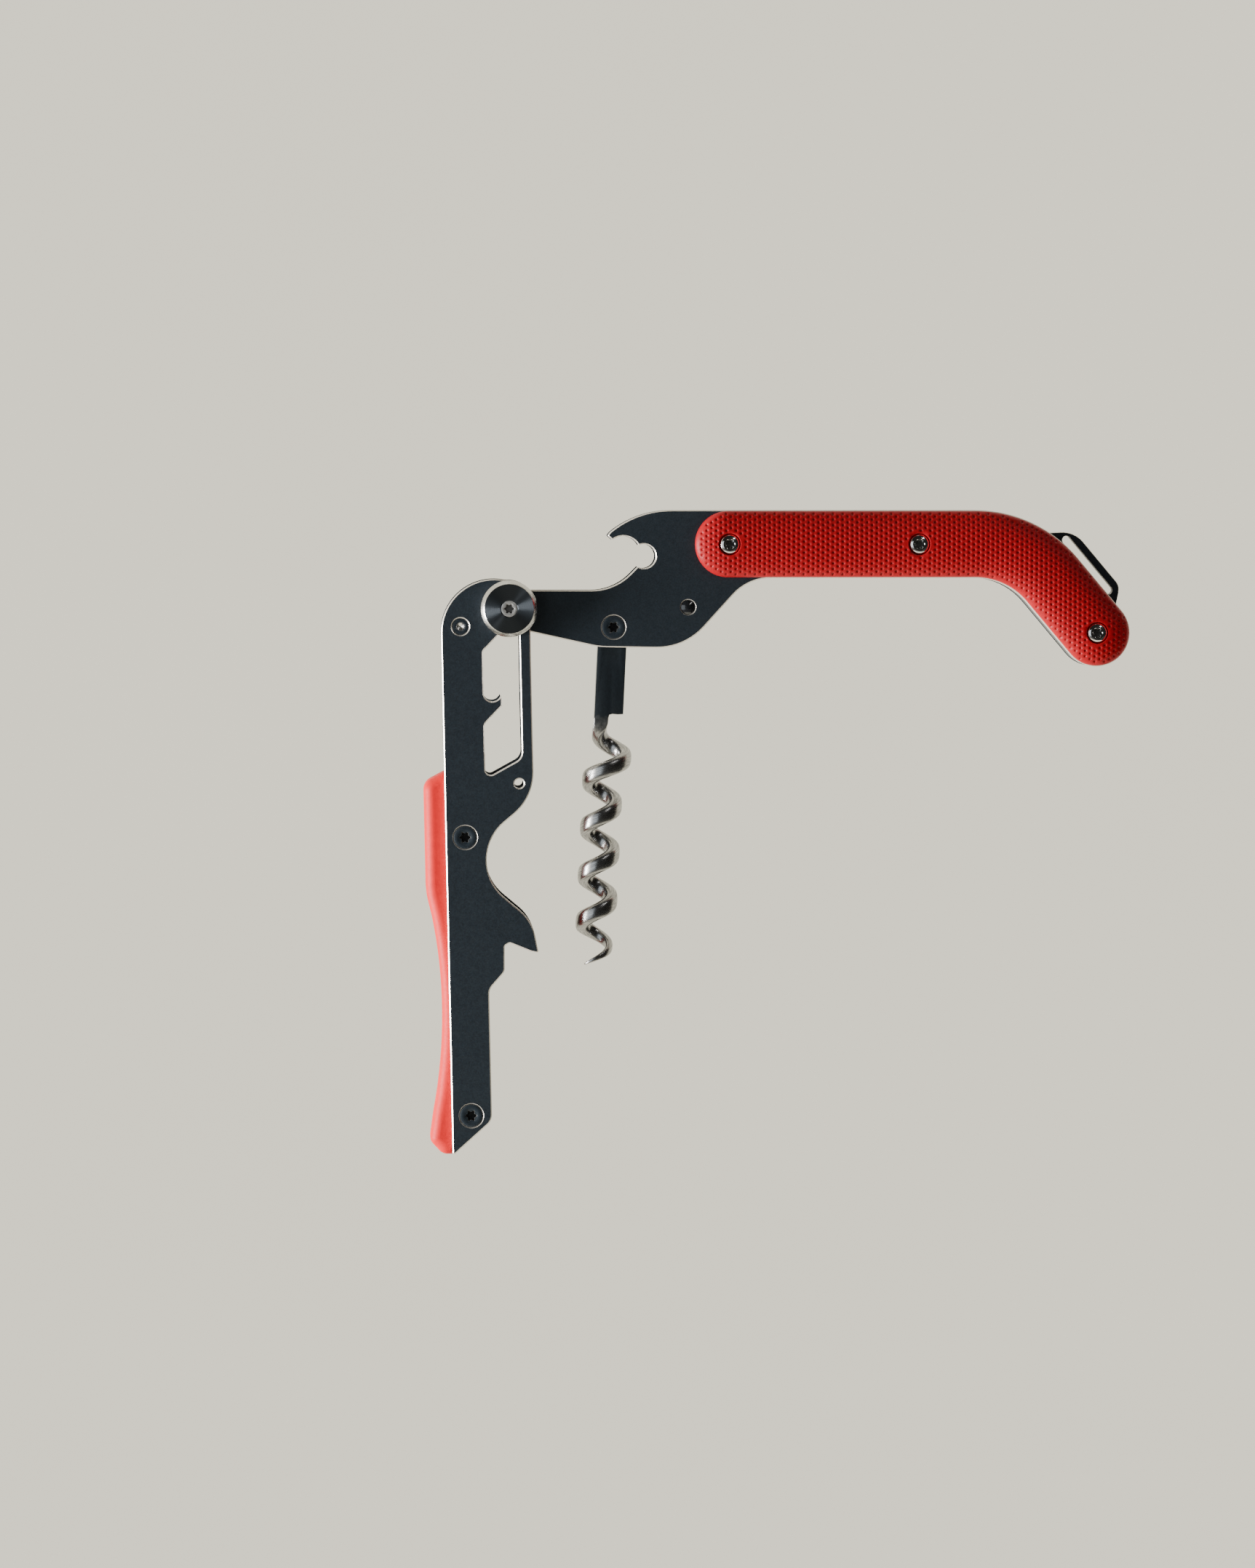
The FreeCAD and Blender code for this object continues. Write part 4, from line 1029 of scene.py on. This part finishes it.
def worm_wire(worm, material, top, tip):
    """Grooved wire that leaves the shank, opens into a right-handed helix and runs out to a sharp tip.

    The worm hangs from its axle at the origin, along -Z.
    """
    tree = Tree("Worm Wire", {
        "Rings": worm.rings, "Around": WIRE_SIDES, "Finish": material, "Top": top, "Tip": tip,
        "Root": worm.shank_reach + ROOT_DROP, "Full": worm.helix_full, "Pitch": worm.helix_pitch,
        "Radius": worm.helix_radius, "Bulge": worm.first_bulge, "Offset": worm.helix_lean,
        "Neck": worm.shank_width / 4, "Shank Half": worm.shank_width / 4 - SHANK_SKIN,
        "Thickness Half": worm.shank_thick / 2 - SHANK_SKIN, "Wire Half Width": worm.wire_width / 2,
        "Wire Half Thickness": worm.wire_thick / 2, "Groove": worm.groove})
    grid = tree.node("GeometryNodeMeshGrid", {"Vertices X": tree["Rings"], "Vertices Y": tree["Around"],
                                              "Size X": 1.0, "Size Y": 1.0})
    u, v, _ = tree.split(tree.position())
    t = u + 0.5
    around = (v + 0.5) * FULL_TURN
    below = tree["Top"] + (tree["Tip"] - tree["Top"]) * t
    run = tree["Full"] - tree["Root"]
    part = ((below - tree["Root"]) / run).clamped()
    past = (below - tree["Full"]).most(0.0)
    rate = 2.0 * run / tree["Pitch"]
    turn = math.pi * (1.0 - (3.0 - rate) * part * part - (rate - 2.0) * part * part * part)
    turn = turn - FULL_TURN * past / tree["Pitch"]
    near_start = (1.0 - ((below - tree["Full"]) / (BULGE_SPAN * tree["Pitch"])).size()).clamped()
    bulge = tree["Bulge"] * near_start.eased()
    out = tree["Neck"] + (tree["Radius"] - tree["Neck"]) * part.eased() + bulge
    aside_by = -tree["Offset"] * (past / (OFFSET_SPAN * tree["Pitch"])).clamped().eased()
    in_helix = past.math("GREATER_THAN", 0.0)
    turning = -math.pi * (2.0 * (3.0 - rate) * part + 3.0 * (rate - 2.0) * part * part) / run
    turning = turning * (1.0 - in_helix) - in_helix * FULL_TURN / tree["Pitch"]
    widening = (tree["Radius"] - tree["Neck"]) * 6.0 * part * (1.0 - part) / run
    sine, cosine = turn.sin(), turn.cos()
    tangent = tree.vector_math("NORMALIZE", tree.vector(
        widening * cosine - out * turning * sine, widening * sine + out * turning * cosine, -1.0))
    radial = tree.vector(cosine, sine, 0.0)
    aside = tree.vector_math("NORMALIZE", tree.vector_math("CROSS_PRODUCT", tangent, radial))
    outward = tree.vector_math("CROSS_PRODUCT", aside, tangent)

    drawn = ((below - tree["Root"]) / DRAWN_OVER).clamped().eased()
    to_tip = ((tree["Tip"] - below) / (TIP_SPAN * tree["Pitch"])).clamped()
    fine = TIP_SHARE + (1.0 - TIP_SHARE) * to_tip ** TIP_TAPER
    closed = (t * (tree["Rings"] - 1.0)).least((1.0 - t) * (tree["Rings"] - 1.0)).clamped()
    across = tree["Shank Half"] * (1.0 - drawn) + tree["Wire Half Thickness"] * drawn
    beside = tree["Thickness Half"] * (1.0 - drawn) + tree["Wire Half Width"] * drawn
    across, beside = across * fine * closed, beside * fine * closed
    square = FLAT_CORNER + (ROUND_CORNER - FLAT_CORNER) * drawn
    c, s = around.cos(), around.sin()
    x = c.sign() * (c.size() ** square) * across
    y = s.sign() * (s.size() ** square) * beside
    groove = tree["Groove"] * drawn * fine * ((c - 0.55) / 0.45).clamped()
    groove = groove + tree["Groove"] * 0.5 * drawn * fine * ((-c - 0.6) / 0.4).clamped() * -1.0
    x = x - groove * closed
    centre = tree.vector(out * cosine + aside_by, out * sine, -below)
    spot = tree.vector_math("ADD", centre, tree.vector_math(
        "ADD", tree.vector_math("MULTIPLY", outward, tree.vector(x, x, x)),
        tree.vector_math("MULTIPLY", aside, tree.vector(y, y, y))))
    marked = grid
    for name, value in (("strand_x", c * STRAND_SCALE), ("strand_y", s * STRAND_SCALE),
                        ("strand_run", below / STRAND_STRETCH)):
        marked = tree.node("GeometryNodeStoreNamedAttribute",
                           {"Geometry": marked.outputs[0], "Name": name, "Value": value}, domain="POINT")
    swept = tree.node("GeometryNodeSetPosition", {"Geometry": marked.outputs[0], "Position": spot})
    sewn = tree.node("GeometryNodeMergeByDistance", {"Geometry": swept.outputs[0], "Distance": DOUBLES})
    tree.finish(sewn.outputs[0], tree["Finish"])
    return tree.run(loose_points([]))


HEAD_STEPS, EYE_SIDES = 32, 40
SHANK_STEP = (              # share of the half width, rise in mm: the web at the wire's start, then the step
    (-1, -0.8), (-0.62, -1.15), (-0.10, -1.0), (0, -0.62),
    (0.05, -0.10), (0.25, 0.06), (0.6, 0.02), (1, 0.12))


def worm_shank(worm, eye_radius):
    """Flat shank with its eye, stepped where the wire leaves it; outline points are (x, z)."""
    half, thick, reach = worm.shank_width / 2, worm.shank_thick / 2, worm.shank_reach
    outline = [(half * x, half * z) for x, z in circle(2 * HEAD_STEPS)[:HEAD_STEPS + 1]]
    outline += [(share * half, -reach + rise * MM) for share, rise in SHANK_STEP]
    eye = [(eye_radius * x, eye_radius * z) for x, z in circle(EYE_SIDES)]
    shape = bmesh.new()
    loops = []
    for spots in (outline, eye):
        verts = [shape.verts.new((x, -thick, z)) for x, z in spots]
        loops += [shape.edges.new((verts[i], verts[(i + 1) % len(verts)])) for i in range(len(verts))]
    bmesh.ops.triangle_fill(shape, use_beauty=True, use_dissolve=False, edges=loops)
    flat = list(shape.faces)
    grown = bmesh.ops.extrude_face_region(shape, geom=flat)
    moved = [item for item in grown["geom"] if isinstance(item, bmesh.types.BMVert)]
    bmesh.ops.translate(shape, verts=moved, vec=(0, 2 * thick, 0))
    bmesh.ops.recalc_face_normals(shape, faces=shape.faces)
    bmesh.ops.bevel(shape, geom=sharp_rims(shape), offset=0.10 * MM, segments=2, affect="EDGES", profile=0.5)
    return shape


# ---------------------------------------------------------------- operators

class MESH_OT_corkscrew_plates(Operator):
    """Coated plates of the handle and of the lever, with their bare cut walls"""
    bl_idname = "mesh.corkscrew_plates"
    bl_label = "Plates and Core"

    def execute(self, context):
        steel = context.scene.corkscrew_steel
        plate = coated_steel("coated plate", steel)
        for _, name in SIDES:
            finished_copy(f"handle_plate_{name}", "handle", "coated_steel", plate)
            finished_copy(f"lever_plate_{name}", "lever", "coated_steel", plate)
        core = coated_steel("coated core", steel, bare_walls=False)
        finished_copy("handle_core", "handle", "coated_steel", core, broken=0.12 * MM)
        return {"FINISHED"}


class MESH_OT_corkscrew_scales(Operator):
    """Dimpled red scales on both sides of the grip"""
    bl_idname = "mesh.corkscrew_scales"
    bl_label = "Grip Scales"

    def execute(self, context):
        grip = context.scene.corkscrew_grip
        material = grip_red(grip)
        for side, name in SIDES:
            spots = [(low + high) / 2 for low, high in solid_boxes(f"grip_screws_{name}")]
            screws = [Vector((spot.x, spot.z)) for spot in spots]
            low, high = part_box(f"grip_scale_{name}")
            start = Vector((low.x + high.z - screws[0].y, screws[0].y))
            line = GripLine(start, screws[-1], grip.bend, grip.bend_radius)
            grip_scale(side, name, line, screws, grip, material)
        return {"FINISHED"}


def set_screws(node, piece_name, body, slot, material, profile):
    """Make the screws of a node's two sides one piece; profile gives their steps from head and end in mm."""
    boxes = {side: solid_boxes(f"{node}_{name}") for side, name in SIDES}
    low, high = boxes[FRONT][0]
    steps = profile((high.z - low.z) / 2 / MM, (high.y - low.y) / MM)
    screw = piece_from("screw", turned_shape(steps, SCREW_SIDES, Vector()), [])
    seats = [(outer_face(box, side), side) for side in (FRONT, BACK) for box in boxes[side]]
    settle(screw_set(piece_name, screw, seats, material), body, slot, f"{node}_front", f"{node}_back")


class MESH_OT_corkscrew_grip_screws(Operator):
    """Bright button-head screws of the grip scales"""
    bl_idname = "mesh.corkscrew_grip_screws"
    bl_label = "Grip Screws"

    def execute(self, context):
        material = polished("bright screw", context.scene.corkscrew_steel.bright, 0.10)
        recess = star_recess((0.76, 0.66, 1.0), (0.86, 0.16, 0.5), (0.90, 0.08, 0.1), (0.96, 0.02, 0.0))
        dome = [(1.04, 0.0), (1.20, 0.025), (1.36, 0.075), (1.52, 0.15), (1.66, 0.25), (1.77, 0.36)]
        set_screws("grip_screws", "grip_button_screws", "handle", "bright_screw", material,
                   lambda head, end: recess + rounded(dome + [(head - 0.03, 0.48), (head, 0.60), (head, 1.3)]
                                                      + shank_end(end, 1.3)))
        return {"FINISHED"}


class MESH_OT_corkscrew_flush_screws(Operator):
    """Blackened flush screws of the worm's axle and of the spine"""
    bl_idname = "mesh.corkscrew_flush_screws"
    bl_label = "Flush Screws"

    def execute(self, context):
        material = blackened("black screw", context.scene.corkscrew_steel)
        recess = star_recess((0.92, 0.76, 1.0), (1.02, 0.14, 0.8), (1.07, 0.06, 0.0), (1.16, 0.03, 0.0))

        def profile(head, end):
            rim = [(1.24, 0.0), (head - 0.14, 0.0), (head - 0.05, 0.03), (head, 0.12), (head, 1.0)]
            return recess + rounded(rim + shank_end(end, 1.0))

        set_screws("worm_screw", "worm_flush_screws", "handle", "black_screw", material, profile)
        set_screws("spine_screws", "spine_flush_screws", "lever", "black_screw", material, profile)
        return {"FINISHED"}


class MESH_OT_corkscrew_knobs(Operator):
    """Turned pivot knobs with their bright screws"""
    bl_idname = "mesh.corkscrew_knobs"
    bl_label = "Pivot Knobs"

    def execute(self, context):
        steel = context.scene.corkscrew_steel
        black, rim = knob_face(steel), polished("knob rim", tinted(steel.bare, 0.68), 0.22)
        bright = polished("pivot screw", steel.bright, 0.42)
        inner, turns, turn_depth = 1.66, 26, 0.006
        for side, name in SIDES:
            low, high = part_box(f"pivot_knob_{name}")
            face = outer_face((low, high), side)
            outer, deep = (high.x - low.x) / 2 / MM, (high.y - low.y) / MM
            steps = [(1.25, deep, 0), (1.25, 1.2, 0), (1.55, 1.2, 0), (1.55, 0.10, 0), (inner, 0.0, 0)]
            last = outer - 0.70
            steps += [(inner + (last - inner) * i / turns, turn_depth * (i % 2), 0) for i in range(1, turns)]
            steps += [(last, 0.0, 0), (last + 0.05, 0.01, 1), (outer - 0.03, 0.66, 1), (outer, 0.74, 1),
                      (outer, deep - 0.1, 1), (outer - 0.1, deep, 1), (1.25, deep, 1)]
            profile = [(radius * MM, depth * MM, material, 0.0) for radius, depth, material in steps]
            knob = turned_shape(profile, KNOB_SIDES, face, side)
            settle(piece_from(f"turned_knob_{name}", knob, [black, rim], 30.0), "lever", "black_knob",
                   f"pivot_knob_{name}")

            low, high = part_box(f"pivot_screw_{name}")
            head, end = (high.x - low.x) / 2 / MM, (high.y - low.y) / MM
            flat = [(head - 0.14, 0.0), (head - 0.04, 0.04), (head, 0.14), (head, 1.1), (1.25, 1.1),
                    (1.25, end - 0.3), (0.9, end), (0, end)]
            profile = star_recess((0.80, 0.76, 1.0), (0.90, 0.14, 0.7), (0.95, 0.05, 0.0), (1.02, 0.02, 0.0))
            screw = turned_shape(profile + rounded(flat), SCREW_SIDES, outer_face((low, high), side), side)
            settle(piece_from(f"knob_screw_{name}", screw, [bright], 32.0), "lever", "bright_screw",
                   f"pivot_screw_{name}")
        return {"FINISHED"}


class MESH_OT_corkscrew_pins(Operator):
    """Pins, sleeves and washers"""
    bl_idname = "mesh.corkscrew_pins"
    bl_label = "Pins and Washers"

    def execute(self, context):
        steel = context.scene.corkscrew_steel
        plain = polished("plain steel", steel.bare, 0.24)
        bronze = polished("bronze washer", steel.bronze, 0.30)
        black = blackened("black pin", steel)
        finished_copy("worm_stop_pin", "handle", "black_screw", glossy_black("stop pin black"), 40.0)
        finished_copy("worm_axle", "handle", "plain_steel", plain)
        finished_copy("pivot_barrel", "lever", "plain_steel", plain)
        for _, name in SIDES:
            finished_copy(f"worm_washer_{name}", "handle", "plain_steel", plain)
            finished_copy(f"pivot_washer_{name}", "lever", "bronze_washer", bronze)

        low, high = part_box("lever_cross_pin")
        face, depth = outer_face((low, high), FRONT), (high.y - low.y) / MM
        collar = (high.x - low.x) / 2 / MM
        shoulder = depth / 2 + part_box("lever_plate_front")[1].y / MM
        half = [(0, 0.42, 1), (0.16, 0.34, 1), (0.45, 0.12, 1), (0.70, 0.02, 1), (0.78, 0.10, 0),
                (0.86, 0.02, 0), (1.36, 0.0, 0), (1.47, 0.05, 0), (1.55, 0.16, 0), (1.55, shoulder, 0),
                (collar, shoulder, 0)]
        steps = half + [(radius, depth - gap, material) for radius, gap, material in reversed(half)]
        profile = [(radius * MM, gap * MM, material, 0.0) for radius, gap, material in steps]
        pin = piece_from("cross_pin_turned", turned_shape(profile, SCREW_SIDES, face), [black, plain], 32.0)
        settle(pin, "lever", "plain_steel", "lever_cross_pin")
        return {"FINISHED"}


class MESH_OT_corkscrew_spine(Operator):
    """Red spine between the lever plates"""
    bl_idname = "mesh.corkscrew_spine"
    bl_label = "Spine"

    def execute(self, context):
        finished_copy("lever_spine", "lever", "red_spine", spine_red(context.scene.corkscrew_grip), 40.0)
        return {"FINISHED"}


class MESH_OT_corkscrew_worm(Operator):
    """Worm: flat shank drawn out into a grooved open helix"""
    bl_idname = "mesh.corkscrew_worm"
    bl_label = "Worm"

    def execute(self, context):
        worm, steel = context.scene.corkscrew_worm, context.scene.corkscrew_steel
        fade = AXLE.z - worm.shank_reach
        material = worm_steel(steel, fade - 0.2 * MM, fade - 3.2 * MM)
        low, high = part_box("worm_axle")
        wire = worm_wire(worm, material, worm.shank_reach - 2.5 * MM, WORM_REACH)
        wire.materials.clear()
        helix = piece_of("worm_forged", wire, [material], 50.0)
        shank = piece_from("shank", worm_shank(worm, (high.x - low.x) / 2 + 0.05 * MM), [material], 30.0)
        joined = bmesh.new()
        joined.from_mesh(helix.data)
        joined.from_mesh(shank.data)
        bpy.data.objects.remove(shank)
        bpy.data.objects.remove(helix)
        joined.transform(Matrix.Translation(AXLE) @ Matrix.Rotation(WORM_LEAN, 4, "Y"))
        bmesh.ops.recalc_face_normals(joined, faces=joined.faces)
        piece = piece_from("worm_forged", joined, [material], 40.0)
        settle(piece, "worm", "worm_steel", "worm")
        return {"FINISHED"}


BOWL_REACH, BOWL_CURVE, BOWL_TOP = 2.7, 1.1, 2.6
SCREEN_REACH, SCREEN_ENDS = 1.5, (-150, 5)      # metres, degrees about Z
CAMERA_PLACE, CAMERA_AIM = Vector((-0.03865, -1.100, 0.0844)), Vector((0.00565, 0.0, 0.0331))
LIGHT_AIM = Vector((0.005, 0.0, 0.033))
WARM, COOL = (1.0, 0.985, 0.96), (0.86, 0.94, 1.0)
LIGHTS = (                  # name, place, width, height, roll in degrees, tint
    ("key", (-0.93, -0.14, -0.12), 0.45, 0.45, 0, WARM),
    ("fill", (-0.78, -0.80, 0.02), 0.95, 0.70, 0, COOL),
    ("strip", (0.55, -1.00, 0.70), 0.02, 0.50, -50, WARM),
    ("top", (-0.10, -0.10, 1.05), 0.70, 0.50, 0, WARM))


class MESH_OT_corkscrew_stage(Operator):
    """Pale floor and backdrop, soft studio lights and the camera"""
    bl_idname = "mesh.corkscrew_stage"
    bl_label = "Stage"

    def execute(self, context):
        stage = context.scene.corkscrew_stage
        floor = -stage.floor_drop
        section = [(0.0, 0.0), (0.6, 0.0), (1.2, 0.0)] + [
            (BOWL_REACH - BOWL_CURVE * (1 - math.sin(turn)), BOWL_CURVE * (1 - math.cos(turn)))
            for turn in map(math.radians, range(0, 91, 5))] + [(BOWL_REACH, BOWL_TOP)]
        backdrop = piece_from("studio_floor", bowl_shape(section, floor, 0, FULL_TURN),
                              [backdrop_paint(stage)], 60.0)

        # A dark screen round the camera's side and overhead, with a mat in front, which the lens doesn't see.
        section = [(0.45, floor + 0.01), (1.45, floor + 0.01)]
        section += [(SCREEN_REACH * math.cos(rise), SCREEN_REACH * math.sin(rise))
                    for rise in map(math.radians, range(-10, 91, 5))]
        ends = [math.radians(end) for end in SCREEN_ENDS]
        screen = piece_from("front_screen", bowl_shape(section, 0.0, *ends), [black_cloth()], 60.0)
        screen.visible_camera = False

        for name, place, width, height, roll, tint in LIGHTS:
            lamp = bpy.data.lights.new(name, "AREA")
            lamp.shape, lamp.size, lamp.size_y, lamp.color = "RECTANGLE", width, height, tint
            lamp.energy = getattr(stage, name)
            light = bpy.data.objects.new(name, lamp)
            light.location = place
            turned = (LIGHT_AIM - light.location).to_track_quat("-Z", "Y")
            light.rotation_euler = (turned @ Quaternion((0, 0, 1), math.radians(roll))).to_euler()
            light.visible_camera = False
            context.scene.collection.objects.link(light)

        world = bpy.data.worlds.new("studio air")
        world.use_nodes = True
        world.node_tree.nodes["Background"].inputs["Color"].default_value = (*stage.backdrop, 1.0)
        world.node_tree.nodes["Background"].inputs["Strength"].default_value = stage.glow
        context.scene.world = world

        lens = bpy.data.cameras.new("camera")
        lens.lens, lens.sensor_width, lens.clip_start, lens.clip_end = stage.lens, 36.0, 0.01, 20.0
        camera = bpy.data.objects.new("camera", lens)
        camera.location = CAMERA_PLACE
        camera.rotation_euler = (CAMERA_AIM - camera.location).to_track_quat("-Z", "Y").to_euler()
        context.scene.collection.objects.link(camera)
        context.scene.camera = camera
        return {"FINISHED"}


class VIEW3D_PT_corkscrew(Panel):
    """Sidebar panel with the corkscrew's pieces and their settings"""
    bl_idname = "VIEW3D_PT_corkscrew"
    bl_label = "Lever Corkscrew"
    bl_space_type = "VIEW_3D"
    bl_region_type = "UI"
    bl_category = "Corkscrew"

    def draw(self, context):
        for operator in OPERATORS:
            self.layout.operator(operator.bl_idname)
        for label, settings in SETTINGS.items():
            box = self.layout.box()
            group = getattr(context.scene, label)
            for prop in settings.__annotations__:
                box.prop(group, prop)


SETTINGS = {"corkscrew_grip": CorkscrewGripSettings, "corkscrew_steel": CorkscrewSteelSettings,
            "corkscrew_worm": CorkscrewWormSettings, "corkscrew_stage": CorkscrewStageSettings}
OPERATORS = (MESH_OT_corkscrew_plates, MESH_OT_corkscrew_scales, MESH_OT_corkscrew_grip_screws,
             MESH_OT_corkscrew_flush_screws, MESH_OT_corkscrew_knobs, MESH_OT_corkscrew_pins,
             MESH_OT_corkscrew_spine, MESH_OT_corkscrew_worm, MESH_OT_corkscrew_stage)


def register():
    for settings in SETTINGS.values():
        bpy.utils.register_class(settings)
    for label, settings in SETTINGS.items():
        setattr(bpy.types.Scene, label, PointerProperty(type=settings))
    for operator in OPERATORS + (VIEW3D_PT_corkscrew,):
        bpy.utils.register_class(operator)


def unregister():
    for operator in reversed(OPERATORS + (VIEW3D_PT_corkscrew,)):
        bpy.utils.unregister_class(operator)
    for label, settings in SETTINGS.items():
        delattr(bpy.types.Scene, label)
        bpy.utils.unregister_class(settings)


def main():
    register()
    for operator in OPERATORS:
        group, name = operator.bl_idname.split(".")
        getattr(getattr(bpy.ops, group), name)()


if __name__ == "__main__":
    main()
